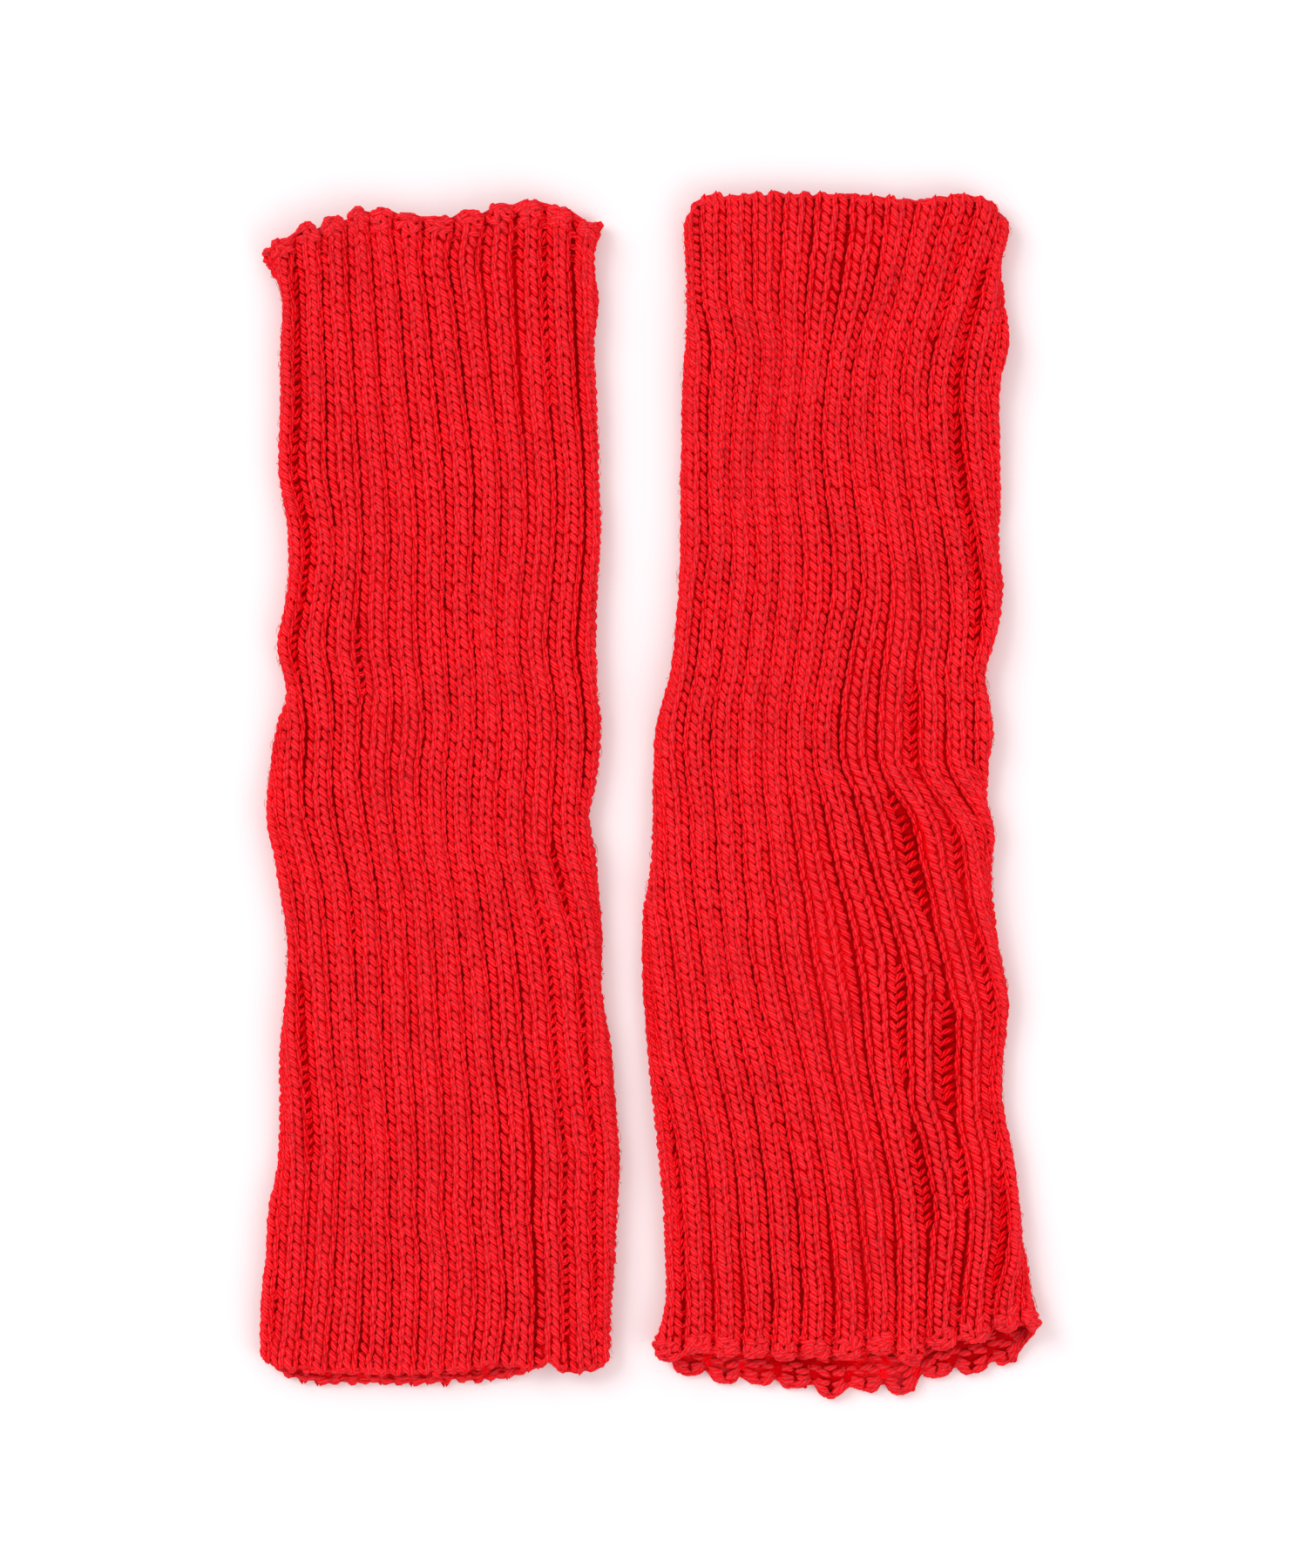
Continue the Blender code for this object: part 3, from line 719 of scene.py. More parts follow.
@dataclass(frozen=True)
class StudioPaper:
    """Matt white background paper, pressed smooth, which gives an even white with soft shadows."""

    name: str = "matt_white_background_paper"
    sheet: str = "#F1EDEE"
    grain_mm: float = 2.5
    grain_depth_mm: float = 0.1
    grain_strength: float = 0.05

    def make(self) -> bpy.types.Material:
        """Make the material.

        Returns:
            The finished material.
        """
        made, shader = principled(self.name, {
            "Base Color": linear(self.sheet), "Roughness": 1.0, "Specular IOR Level": 0.0})
        place = add_node(made, "TexCoord").outputs["Object"]
        grain = add_node(made, "TexNoise", {"Vector": place, "Scale": 1.0 / (self.grain_mm * MM)})
        press = add_node(made, "Bump", {"Height": grain, "Strength": self.grain_strength,
                                        "Distance": self.grain_depth_mm * MM})
        made.node_tree.links.new(press.outputs[0], shader.inputs["Normal"])
        return made


@dataclass
class TubeLay:
    """How one flattened tube lies, worked out from its tables, in millimetres."""

    centre: float
    top: float
    bottom: float
    sections: tuple[Section, ...]
    top_edge: tuple[Edge, ...]
    bottom_edge: tuple[Edge, ...]
    openings: tuple[Opening, ...]
    folds: tuple[Fold, ...]
    notches: tuple[float, ...]
    bound_end: End
    seed: int
    cast_notch: float = 0.9
    bound_relief_band: float = 6.0
    cast_relief_band: float = 2.5
    ribs: Array = field(init=False)
    lines: dict[End, Array] = field(init=False)
    lobes: dict[End, Array] = field(init=False)

    def __post_init__(self) -> None:
        """Work out both ends' lines once, rib by rib, and how unevenly their lobes reach."""
        self.ribs = FIRST_RIB + np.arange(LINE_STEPS * RIBS_AROUND + 1) / LINE_STEPS
        self.lines = {}
        rng = np.random.default_rng(self.seed)
        self.lobes = {self.bound_end: rng.normal(LOBE_MIDDLE, LOBE_SPREAD, RIBS_AROUND),
                      self.cast_end: rng.normal(0.0, NEAT_SPREAD, 2 * RIBS_AROUND)}
        for end, edge in ((End.TOP, self.top_edge), (End.BOTTOM, self.bottom_edge)):
            nominal = np.full_like(self.ribs, self.end_place(end))
            across, _, upper = self.cloth_point(self.ribs, nominal, np.zeros_like(self.ribs))
            front = through(edge, "across", "front", across)
            back = through(edge, "across", "back", across)
            self.lines[end] = back + (front - back) * upper - nominal

    @property
    def cast_end(self) -> End:
        """The end where the knitting begins, across from the bound-off one."""
        return End(-self.bound_end.value)

    def section(self, name: str, along: Array) -> Array:
        """One column of the tube's sections at some places along it."""
        return through(self.sections, "along", name, along)

    def end_place(self, end: End) -> float:
        """Nominal place along the tube of one end."""
        return self.top if end is End.TOP else self.bottom

    def arc_at_rib(self, rib: Array, along: Array, left: Array, right: Array,
                   radius: Array) -> Array:
        """Distance around the tube, from its left edge over the top, of a rib number.

        Args:
            rib: Rib numbers.
            along: Places along the tube.
            left: The tube's left edge there.
            right: Its right edge.
            radius: Half its height.

        Returns:
            The distances.
        """
        quarter = np.pi * radius / 2.0
        flat = right - left - 2.0 * radius
        around = 2.0 * flat + 4.0 * quarter
        stops = [quarter + self.section(f"valley{number}", along) - left - radius
                 for number in GUIDE_VALLEYS]
        first = stops[0] - (GUIDE_VALLEYS[0] - FIRST_RIB) * RIB_PITCH
        last_rib = GUIDE_VALLEYS[-1] + GUIDE_VALLEYS[0] - FIRST_RIB
        last = stops[-1] + (last_rib - GUIDE_VALLEYS[-1]) * RIB_PITCH
        numbers = (FIRST_RIB, *GUIDE_VALLEYS, last_rib, FIRST_RIB + RIBS_AROUND)
        stops = [first, *stops, last, first + around]
        arc = stops[0]
        for low in range(len(numbers) - 1):
            share = np.clip((rib - numbers[low]) / (numbers[low + 1] - numbers[low]), 0.0, 1.0)
            arc = arc + share * (stops[low + 1] - stops[low])
        return np.mod(arc, around)

    def fold_rise(self, across: Array, along: Array) -> Array:
        """Height that the soft folds add to the upper layer.

        Args:
            across: Places across the tube.
            along: Places along it.

        Returns:
            The heights.
        """
        total = np.zeros_like(across)
        for fold in self.folds:
            turn = math.radians(fold.turn)
            aside = across - fold.across
            ahead = along - fold.along
            beside = aside * math.cos(turn) + ahead * math.sin(turn)
            beyond = ahead * math.cos(turn) - aside * math.sin(turn)
            fade = np.exp(-(beside / fold.width) ** 2 - (beyond / fold.length) ** 2)
            total = total + fold.rise * fade
        return total

    def cloth_point(self, rib: Array, along: Array, sink: Array) -> tuple[Array, Array, Array]:
        """Place of a point of the cloth's outer side.

        Args:
            rib: Rib numbers.
            along: Places along the tube.
            sink: Share of the rib relief that each point lies below the crowns.

        Returns:
            Places across and heights, and how far each point belongs to the upper layer.
        """
        left = self.section("left", along)
        right = self.section("right", along)
        radius = self.section("high", along) / 2.0
        arc = self.arc_at_rib(rib, along, left, right, radius)
        quarter = np.pi * radius / 2.0
        flat = right - left - 2.0 * radius
        over = np.clip(arc - quarter, 0.0, flat)
        under = np.clip(arc - 3.0 * quarter - flat, 0.0, flat)
        turned = np.clip(arc, 0.0, quarter)
        turned = turned + np.clip(arc - quarter - flat, 0.0, 2.0 * quarter)
        turned = turned + np.clip(arc - 3.0 * quarter - 2.0 * flat, 0.0, quarter)
        angle = turned / radius
        out_across = -np.cos(angle)
        out_up = np.sin(angle)
        clear = smooth((out_up + CLEAR_FROM) / CLEAR_FADE)
        depth = sink * (RIB_RELIEF * clear + UNDER_RELIEF * (1.0 - clear))
        across = left + radius + over - under + (radius - depth) * out_across
        height = radius + (radius - depth) * out_up
        height = height + self.fold_rise(across, along) * smooth(out_up * 2.0)
        return across, height, smooth((out_up + 1.0) / 2.0)

    def run_along(self, rib: Array, nominal: Array) -> Array:
        """Place along the tube of a course, which follows the two uneven ends near them.

        Args:
            rib: Rib numbers.
            nominal: Places along a tube with straight ends.

        Returns:
            The places.
        """
        along = nominal
        for end in End:
            away = (self.end_place(end) - nominal) * end.value
            line = np.interp(rib, self.ribs, self.lines[end])
            teeth = len(self.lobes[end])
            place = (rib - FIRST_RIB) * teeth / RIBS_AROUND
            which = np.clip(np.floor(place).astype(int), 0, teeth - 1)
            if end is self.bound_end:
                nearest = np.mod(np.rint(rib - FIRST_RIB).astype(int), RIBS_AROUND)
                notch = np.array(self.notches)[nearest]
                tooth = 1.0 - np.abs(2.0 * (place - np.floor(place)) - 1.0) ** LOBE_ROUNDING
                level = np.interp(np.floor(rib) + 0.5, self.ribs, self.lines[end])
                line = line + LOBE_LEVEL * (level - line) * (1.0 - smooth(away / SCALLOP_REACH))
            else:
                notch = self.cast_notch
                tooth = 0.5 - 0.5 * np.cos(2.0 * np.pi * place)
            lobe = self.lobes[end][which] * tooth - notch * (1.0 - tooth) ** NOTCH_SHARPNESS
            along = along + line * (1.0 - smooth(away / EDGE_REACH))
            along = along + end.value * lobe * (1.0 - smooth(away / SCALLOP_REACH))
        return along

    def valley_width(self, valley: Array, nominal: Array) -> Array:
        """Width of a valley's floor.

        Args:
            valley: Whole valley numbers.
            nominal: Places along the tube.

        Returns:
            The widths.
        """
        number = np.mod(valley - FIRST_RIB, RIBS_AROUND) + FIRST_RIB
        width = np.full_like(nominal, CLOSED_VALLEY)
        for opening in self.openings:
            begun = smooth((opening.start - nominal) / OPENING_FADE)
            left_over = smooth((nominal - opening.end) / OPENING_FADE)
            opened = OPENING_SHARE * (opening.width - CLOSED_VALLEY)
            wide = CLOSED_VALLEY + opened * begun * left_over
            width = np.where(number == opening.valley, np.maximum(width, wide), width)
        return width

    def from_end(self, end: End, nominal: Array) -> Array:
        """How far places lie from one end."""
        return np.abs(nominal - self.end_place(end))

    def bare_width(self, valley: Array, nominal: Array) -> Array:
        """Width of a valley that its neighbouring stitches leave bare, as a share of a rib's pitch."""
        loose = self.from_end(self.bound_end, nominal)
        fill = LOOSE_FILL + (VALLEY_FILL - LOOSE_FILL) * smooth(loose / STRONG_REACH)
        return (self.valley_width(valley, nominal) - fill) / RIB_PITCH

    def relief_share(self, nominal: Array) -> Array:
        """Share of the rib relief: full by the loose end, less where edge stitches fill it."""
        loose = self.from_end(self.bound_end, nominal)
        cast = self.from_end(self.cast_end, nominal)
        band = np.minimum(smooth(loose / self.bound_relief_band), smooth(cast / self.cast_relief_band))
        strong = 1.0 - (1.0 - MID_RELIEF) * smooth(loose / STRONG_REACH)
        return strong * (BAND_RELIEF + (1.0 - BAND_RELIEF) * band)

    def sunk(self, rib: Array, share: Array, nominal: Array) -> Array:
        """How far the cloth lies below the rib crowns at a share of the way across a rib.

        Args:
            rib: Whole rib numbers.
            share: 0 and 1 at the rib's two feet.
            nominal: Places along a tube with straight ends.

        Returns:
            The depths as a share of the rib relief, below 0 on the lobes of the loose end.
        """
        outside = np.clip(np.abs(2.0 * share - 1.0), 0.0, 1.0)
        groove = MIDDLE_GROOVE * np.exp(-((share - 0.5) / GROOVE_WIDTH) ** 2)
        loose = self.from_end(self.bound_end, nominal) / LOBE_REACH
        lobe = LOBE_RISE * (1.0 - outside ** 2) * (1.0 - smooth(loose))
        width = self.valley_width(np.where(share < 0.5, rib, rib + 1), nominal)
        opened = smooth((width - CLOSED_VALLEY) / OPENED_WIDTH)
        relief = self.relief_share(nominal) * (1.0 - opened) + OPENED_RELIEF * opened
        return (outside ** RIB_ROUNDING + groove) * relief - lobe

    def point(self, rib: Array, share: Array, nominal: Array, relief: float = 1.0) -> Array:
        """Point of the cloth's outer side at a share of the way across one raised rib.

        Args:
            rib: Whole rib numbers.
            share: 0 and 1 at the rib's two feet, and beyond them on the valley floors.
            nominal: Places along a tube with straight ends.
            relief: Share of the ribs' relief that is kept.

        Returns:
            The points, in millimetres.
        """
        before = self.bare_width(rib, nominal) / 2.0
        after = self.bare_width(rib + 1, nominal) / 2.0
        number = rib + before + share * (1.0 - before - after)
        number = np.mod(number - FIRST_RIB, RIBS_AROUND) + FIRST_RIB
        along = self.run_along(number, nominal)
        across, height, _ = self.cloth_point(number, along, relief * self.sunk(rib, share, nominal))
        return np.stack((self.centre + across, along, height), axis=-1)

    def surface(self, rib: Array, share: Array, nominal: Array,
                relief: float = 1.0) -> tuple[Array, Array, Array]:
        """Points of the cloth's outer side, the way outwards there and the way towards the top.

        Args:
            rib: Whole rib numbers.
            share: Shares of the way across each rib.
            nominal: Places along a tube with straight ends.
            relief: Share of the ribs' relief that is kept.

        Returns:
            Points, outward directions and directions along the tube.
        """
        here = self.point(rib, share, nominal, relief)
        beside = (self.point(rib, share + SHARE_STEP, nominal, relief)
                  - self.point(rib, share - SHARE_STEP, nominal, relief))
        beyond = (self.point(rib, share, nominal + ALONG_STEP, relief)
                  - self.point(rib, share, nominal - ALONG_STEP, relief))
        return here, unit(np.cross(beside, beyond)), unit(beyond)


def painted_shade_depth(height: Array) -> Array:
    """Depth of yarn for its painted shade, from 0 at the crowns over 1 in the closed valleys.

    Args:
        height: Heights over the rib crowns, in millimetres.

    Returns:
        The depths.
    """
    return np.clip((SHADE_TOP - height) / SHADE_FULL_DEPTH, 0.0, SHADE_MOST)


@dataclass
class StrandBatch:
    """Many short plump strands of yarn, which become one joined mesh."""

    sides: int
    flatten: float = YARN_FLATTEN
    lowest: float = 0.02
    points: list[Array] = field(default_factory=list)
    maps: list[Array] = field(default_factory=list)
    corners: list[Array] = field(default_factory=list)
    spans: list[Array] = field(default_factory=list)
    shade_depths: list[Array] = field(default_factory=list)
    used: int = 0

    def add(self, centre: Array, outward: Array, radius: Array, start: Array,
            height: Array) -> None:
        """Add strands that all have as many points, each pointed at both of its ends.

        Args:
            centre: Middle lines, by strand, point and axis, in millimetres.
            outward: The cloth's outward direction at each point.
            radius: Radius at each point, by strand and point.
            start: How far along the yarn each strand begins, for its pattern.
            height: How high each point lies over the rib crowns, for its painted shade.
        """
        count, length, _ = centre.shape
        rings = length - 2
        sides = self.sides
        ahead = unit(np.gradient(centre, axis=1))
        rise = unit(outward - ahead * np.sum(outward * ahead, axis=-1, keepdims=True))
        aside = np.cross(rise, ahead)
        turn = 2.0 * np.pi * (np.arange(sides) + 0.5) / sides
        ring = (aside[:, 1:-1, None, :] * np.cos(turn)[None, None, :, None]
                + self.flatten * rise[:, 1:-1, None, :] * np.sin(turn)[None, None, :, None])
        ring = centre[:, 1:-1, None, :] + radius[:, 1:-1, None, None] * ring
        body = np.concatenate((centre[:, :1], ring.reshape(count, rings * sides, 3),
                               centre[:, -1:]), axis=1)
        each = body.shape[1]
        # Each ring point's height sets its painted shade, so a strand's lower sides are painted darker
        level = (height[:, 1:-1, None]
                 + self.flatten * radius[:, 1:-1, None] * np.sin(turn)[None, None, :])
        level = np.concatenate((height[:, :1], level.reshape(count, rings * sides), height[:, -1:]),
                               axis=1)
        steps = np.linalg.norm(np.diff(centre, axis=1), axis=-1)
        run = start[:, None] + np.concatenate((np.zeros((count, 1)), np.cumsum(steps, axis=1)), axis=1)
        faces, places = self.pattern(rings)
        corner = faces[None, :] + (self.used + each * np.arange(count))[:, None]
        uv = np.empty((count, len(faces), 2))
        uv[:, :, 0] = places[None, :, 0]
        uv[:, :, 1] = run[:, places[:, 1].astype(int)]
        self.points.append(body.reshape(-1, 3))
        self.shade_depths.append(painted_shade_depth(level).reshape(-1))
        self.corners.append(corner.reshape(-1))
        self.maps.append(uv.reshape(-1, 2))
        sizes = np.array([3] * (2 * sides) + [4] * ((rings - 1) * sides))
        self.spans.append(np.tile(sizes, count))
        self.used += each * count

    def pattern(self, rings: int) -> tuple[Array, Array]:
        """Corners of one strand's faces, with each corner's place around and point along.

        Args:
            rings: How many rings lie between its two ends.

        Returns:
            Vertex numbers, and for each the share around and the number of the point along.
        """
        sides = self.sides
        last = 1 + rings * sides
        faces: list[int] = []
        places: list[tuple[float, float]] = []
        for side in range(sides):
            after = (side + 1) % sides
            faces += [0, 1 + after, 1 + side]
            places += [((side + 0.5) / sides, 0), ((side + 1) / sides, 1), (side / sides, 1)]
            faces += [last, last - sides + side, last - sides + after]
            places += [((side + 0.5) / sides, rings + 1), (side / sides, rings),
                       ((side + 1) / sides, rings)]
        for ring in range(rings - 1):
            for side in range(sides):
                after = (side + 1) % sides
                low = 1 + ring * sides
                faces += [low + side, low + after, low + sides + after, low + sides + side]
                places += [(side / sides, ring + 1), ((side + 1) / sides, ring + 1),
                           ((side + 1) / sides, ring + 2), (side / sides, ring + 2)]
        return np.array(faces), np.array(places, dtype=float)

    def make(self, name: str) -> bpy.types.Object:
        """Join the strands into one mesh object.

        Args:
            name: The piece's name.

        Returns:
            The piece.
        """
        points = np.concatenate(self.points) * MM
        points[:, 2] = np.maximum(points[:, 2], self.lowest * MM)
        corners = np.concatenate(self.corners).astype(np.int32)
        spans = np.concatenate(self.spans)
        mesh = bpy.data.meshes.new(name)
        mesh.vertices.add(len(points))
        mesh.vertices.foreach_set("co", points.astype(np.float32).ravel())
        mesh.loops.add(len(corners))
        mesh.loops.foreach_set("vertex_index", corners)
        mesh.polygons.add(len(spans))
        starts = np.concatenate(([0], np.cumsum(spans)[:-1])).astype(np.int32)
        mesh.polygons.foreach_set("loop_start", starts)
        mesh.update(calc_edges=True)
        layer = mesh.uv_layers.new(name="yarn")
        layer.data.foreach_set("uv", np.concatenate(self.maps).astype(np.float32).ravel())
        shade = mesh.attributes.new(SHADE_DEPTH_ATTRIBUTE, "FLOAT", "POINT")
        shade.data.foreach_set("value", np.concatenate(self.shade_depths).astype(np.float32))
        mesh.shade_smooth()
        made = bpy.data.objects.new(name, mesh)
        bpy.context.scene.collection.objects.link(made)
        return made


@dataclass
class LegWarmer:
    """One tube of rib knit, with its stitches and its two finished ends."""

    name: str
    node: str
    lay: TubeLay
    seed: int
    yarn: bpy.types.Material
    pieces: list[bpy.types.Object] = field(default_factory=list)
    bound_band: float = 3.6
    cast_band: float = 2.2
    rng: np.random.Generator = field(init=False)

    def __post_init__(self) -> None:
        """Start this tube's own random numbers."""
        self.rng = np.random.default_rng(self.seed)

    def build(self) -> None:
        """Build every piece of this tube and say how each moves."""
        cloth = self.cloth()
        self.stitches("upper_stitches_left", UPPER_RIBS[:LEFT_HALF], SLANTED_LEG, UPPER_SIDES)
        self.stitches("upper_stitches_right", UPPER_RIBS[LEFT_HALF:], SLANTED_LEG, UPPER_SIDES)
        self.stitches("under_stitches", UNDER_RIBS, PLAIN_SLANTED_LEG, UNDER_SIDES)
        self.valley_arcs()
        self.inside_bumps()
        self.bound_edge()
        self.cast_edge()
        self.loose_fibres()
        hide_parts(self.node)

    def vary(self, spread: float, count: int, middle: float = 0.0) -> Array:
        """Amounts spread round a middle, one to a strand."""
        return self.rng.normal(middle, spread, (count, 1))

    def between(self, ends: tuple[float, float], count: int) -> Array:
        """Amounts between two ends, one to a strand."""
        return self.rng.uniform(*ends, (count, 1))

    def keep(self, piece: bpy.types.Object) -> None:
        """Give a finished piece its yarn, its body and its slot, and report it.

        Args:
            piece: The piece.
        """
        piece.data.materials.append(self.yarn)
        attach(piece, BODY)
        faces = sum(len(face.vertices) - 2 for face in piece.data.polygons)
        LOG.info("%s: %d triangles", piece.name, faces)

    def cloth(self) -> bpy.types.Object:
        """Thin shell under the stitches, which closes the wall all round.

        Returns:
            The piece.
        """
        around = len(CLOTH_SHARES) * RIBS_AROUND
        deselect_all()
        bpy.ops.mesh.primitive_grid_add(x_subdivisions=around, y_subdivisions=CLOTH_COURSES, size=2.0)
        made = bpy.context.object
        made.name = f"{self.name}_cloth"
        made.data.name = made.name
        ends = (self.lay.bottom + RIM_SETBACK, self.lay.top - RIM_SETBACK)
        spot = np.empty(len(made.data.vertices) * 3)
        made.data.vertices.foreach_get("co", spot)
        spot = (spot.reshape(-1, 3) + 1.0) / 2.0
        column = np.rint(spot[:, 0] * around).astype(int)
        nominal = ends[0] + spot[:, 1] * (ends[1] - ends[0])
        rib = FIRST_RIB + column // len(CLOTH_SHARES)
        share = np.array(CLOTH_SHARES)[column % len(CLOTH_SHARES)]
        place, outward, _ = self.lay.surface(rib, share, nominal)
        sink = np.where(np.isin(share, (0.0, 1.0)), VALLEY_SINK, CROWN_SINK)
        place = place - sink[:, None] * outward
        # Painted shade: the shell is painted darker the deeper it lies below the rib crowns, darkest on
        # the valley floors
        sunk = SUNK_SHADE * RIB_RELIEF * self.lay.sunk(rib, share, nominal)
        shade = made.data.attributes.new(SHADE_DEPTH_ATTRIBUTE, "FLOAT", "POINT")
        shade.data.foreach_set("value", painted_shade_depth(-sink - sunk).astype(np.float32))
        made.data.vertices.foreach_set("co", (place * MM).ravel())
        made.data.update()
        bpy.ops.object.mode_set(mode="EDIT")
        bpy.ops.mesh.select_all(action="SELECT")
        bpy.ops.mesh.remove_doubles(threshold=WELD * MM)
        bpy.ops.object.mode_set(mode="OBJECT")
        wall = made.modifiers.new("wall", "SOLIDIFY")
        wall.thickness = SHELL_THICKNESS * MM
        wall.offset = -1.0
        bpy.ops.object.modifier_apply(modifier=wall.name)
        made.data.shade_smooth()
        self.keep(made)
        return made

    def row_places(self) -> Array:
        """Nominal places of the rows of stitches, from the cast-on end to the bound-off end."""
        up = self.lay.bound_end.value
        start = self.lay.end_place(self.lay.cast_end) + up * self.cast_band
        stop = self.lay.end_place(self.lay.bound_end) - up * self.bound_band
        count = int(abs(stop - start) / ROW_HEIGHT) + 1
        return start + (stop - start) * np.arange(count) / (count - 1)

    def stitches(self, name: str, ribs: Sequence[int], slanted: Sequence[LegPoint],
                 sides: int) -> None:
        """Knit V's of some ribs, two side by side on each.

        Args:
            name: The piece's name, after the tube's.
            ribs: Rib numbers.
            slanted: The points of the slanted leg of a V.
            sides: Sides of the yarn.
        """
        batch = StrandBatch(sides)
        rows = self.row_places()
        lines = len(ribs) * len(WALES)
        line, row = pairs(lines, len(rows))
        count = len(line)
        up = self.lay.bound_end.value
        phase = self.rng.uniform(0.0, math.tau, lines)[line]
        sway = sum(reach * np.sin(row * turn + often * phase) for reach, turn, often in SWAYS)
        middle = np.array(WALES)[line % len(WALES)] + self.vary(STITCH_SPREAD.aside, count)
        centre = rows[row] + ROW_HEIGHT * (sway + self.vary(STITCH_SPREAD.along, count))
        for leg, side in ((slanted, -up), (STRAIGHT_LEG, up)):
            aside, ahead, lift, girth = columns(leg)
            width = 1.0 + self.vary(LEG_WIDTH_SPREAD, count)
            share = middle + side * aside * 0.5 * width
            nominal = centre + up * ROW_HEIGHT * (ahead + self.vary(LEG_ALONG_SPREAD, count))
            girth = girth * (1.0 + self.vary(STITCH_SPREAD.girth, count))
            lift = lift + self.vary(STITCH_SPREAD.lift, count)
            self.lay_strands(batch, np.array(ribs)[line // len(WALES)], share, nominal, lift, girth)
        self.finish(batch, name)

    def lay_strands(self, batch: StrandBatch, rib: Array, share: Array, nominal: Array, lift: Array,
                    girth: Array, shade: float = 0.0) -> None:
        """Lay strands on the cloth's outer side.

        Args:
            batch: Batch that they go into.
            rib: Whole rib numbers, by strand, or by strand and point as all that follow.
            share: Shares of the way across each rib.
            nominal: Places along a tube with straight ends.
            lift: Heights over the cloth.
            girth: Radii.
            shade: How much deeper than they lie their painted shade is set, in millimetres.
        """
        rib = np.broadcast_to(rib, share.shape)
        place, outward, _ = self.lay.surface(rib, share, nominal)
        _, plain, _ = self.lay.surface(rib, share, nominal, 0.0)
        # Height over the rib crowns that sets the strands' painted shade, lower on the ribs' flanks and
        # in the valleys
        height = lift - shade - SUNK_SHADE * RIB_RELIEF * self.lay.sunk(rib, share, nominal)
        batch.add(place + lift[..., None] * plain, outward, girth, self.starts(len(share)), height)

    def starts(self, count: int) -> Array:
        """Where along the yarn strands begin, in millimetres."""
        return self.rng.uniform(0.0, START_SPAN, count)

    def finish(self, batch: StrandBatch, name: str) -> None:
        """Join a batch into a piece of this tube.

        Args:
            batch: The strands.
            name: The piece's name, after the tube's.
        """
        piece = batch.make(f"{self.name}_{name}")
        self.keep(piece)
        self.pieces.append(piece)

    def valley_arcs(self) -> None:
        """Purl arcs that line the floors of the widest opened valleys, one to each row."""
        batch = StrandBatch(UPPER_SIDES)
        rows = self.row_places()
        valley, row = pairs(RIBS_AROUND, len(rows))
        valley, nominal = FIRST_RIB + valley, rows[row]
        width = self.lay.valley_width(valley, nominal)
        shown = width[:, 0] > ARCS_FROM
        valley, nominal, width = valley[shown], nominal[shown], width[shown]
        count = len(valley)
        run, lift, girth = columns(ARC_POINTS)
        across = run * (width / 2.0 + ARC_PAST)
        tilt = self.vary(ARC_TILT_SPREAD, count, ARC_TILT) * run
        bow = self.vary(ARC_BOW_SPREAD, count, ARC_BOW) * (1.0 - run ** 2)
        bow = tilt - self.lay.bound_end.value * bow
        nominal = nominal + self.vary(ARC_SPREAD.along, count) + bow
        bare = RIB_PITCH * self.lay.bare_width(valley, nominal[:, 2:3])
        wide = RIB_PITCH - bare
        before = across < 0.0
        rib = np.where(before, valley - 1, valley)
        share = np.where(before, 1.0 + (across + bare / 2.0) / wide, (across - bare / 2.0) / wide)
        lift = lift + self.vary(ARC_SPREAD.lift, count)
        girth = girth * (1.0 + self.vary(ARC_SPREAD.girth, count))
        # The arcs get painted shade as though they lay deeper in the valley than they do
        self.lay_strands(batch, rib, share, nominal, lift, girth, ARC_SHADE)
        self.finish(batch, "valley_arcs")

    def inside_bumps(self) -> None:
        """Rows of purl bumps on the inner side, as far in as each mouth shows."""
        batch = StrandBatch(UNDER_SIDES)
        for end in End:
            wale, row = pairs(2 * RIBS_AROUND, INSIDE_ROWS)
            count = len(wale)
            bound = end is self.lay.bound_end
            odd = row % 2
            pitch, half = BOUND_BUMPS if bound else CAST_BUMPS
            run, lift, girth = columns(BUMP_POINTS)
            brick = STAGGER * odd * (row > STAGGER_FROM)
            number = wale / 2.0 + WALES[0] + brick + half * run
            number = number + self.vary(BUMP_SPREAD.aside, count)
            bow = BUMP_BOW * (1.0 - run ** 2) * (1.0 - 2.0 * odd)
            tilt = self.vary(BUMP_TILT_SPREAD, count) * run
            back = BUMP_BACK + pitch * row + bow + tilt + self.vary(BUMP_SPREAD.along, count)
            nominal = self.lay.end_place(end) - end.value * back
            rib = np.floor(number).astype(int)
            place, outward, _ = self.lay.surface(FIRST_RIB + rib, number - rib, nominal, 0.0)
            lift = lift + self.vary(BUMP_SPREAD.lift, count)
            girth = girth * (1.0 + self.vary(BUMP_SPREAD.girth, count))
            if bound:
                near = 1.0 - smooth((back - MOUTH_BACK) / MOUTH_FADE)
                girth = girth * (MOUTH_GIRTH + MOUTH_MORE * near)
                lump = np.sin(np.pi * (number - rib)) ** 2
                lift = lift + near * (MOUTH_LUMP * lump - MOUTH_LOWER)
            middle = place - (INSIDE_DEPTH + lift)[..., None] * outward
            # Painted shade: bumps further inside the tube are painted darker, starting further in by the
            # loose mouth
            inside_shade = INSIDE_SHADE_SLOPE * np.maximum(back - INSIDE_SHADE_LOOSE * bound - INSIDE_SHADE_START, 0.0)
            batch.add(middle, -outward, girth, self.starts(count), lift - INSIDE_SHADE_LEAST - inside_shade)
        self.finish(batch, "inside_bumps")

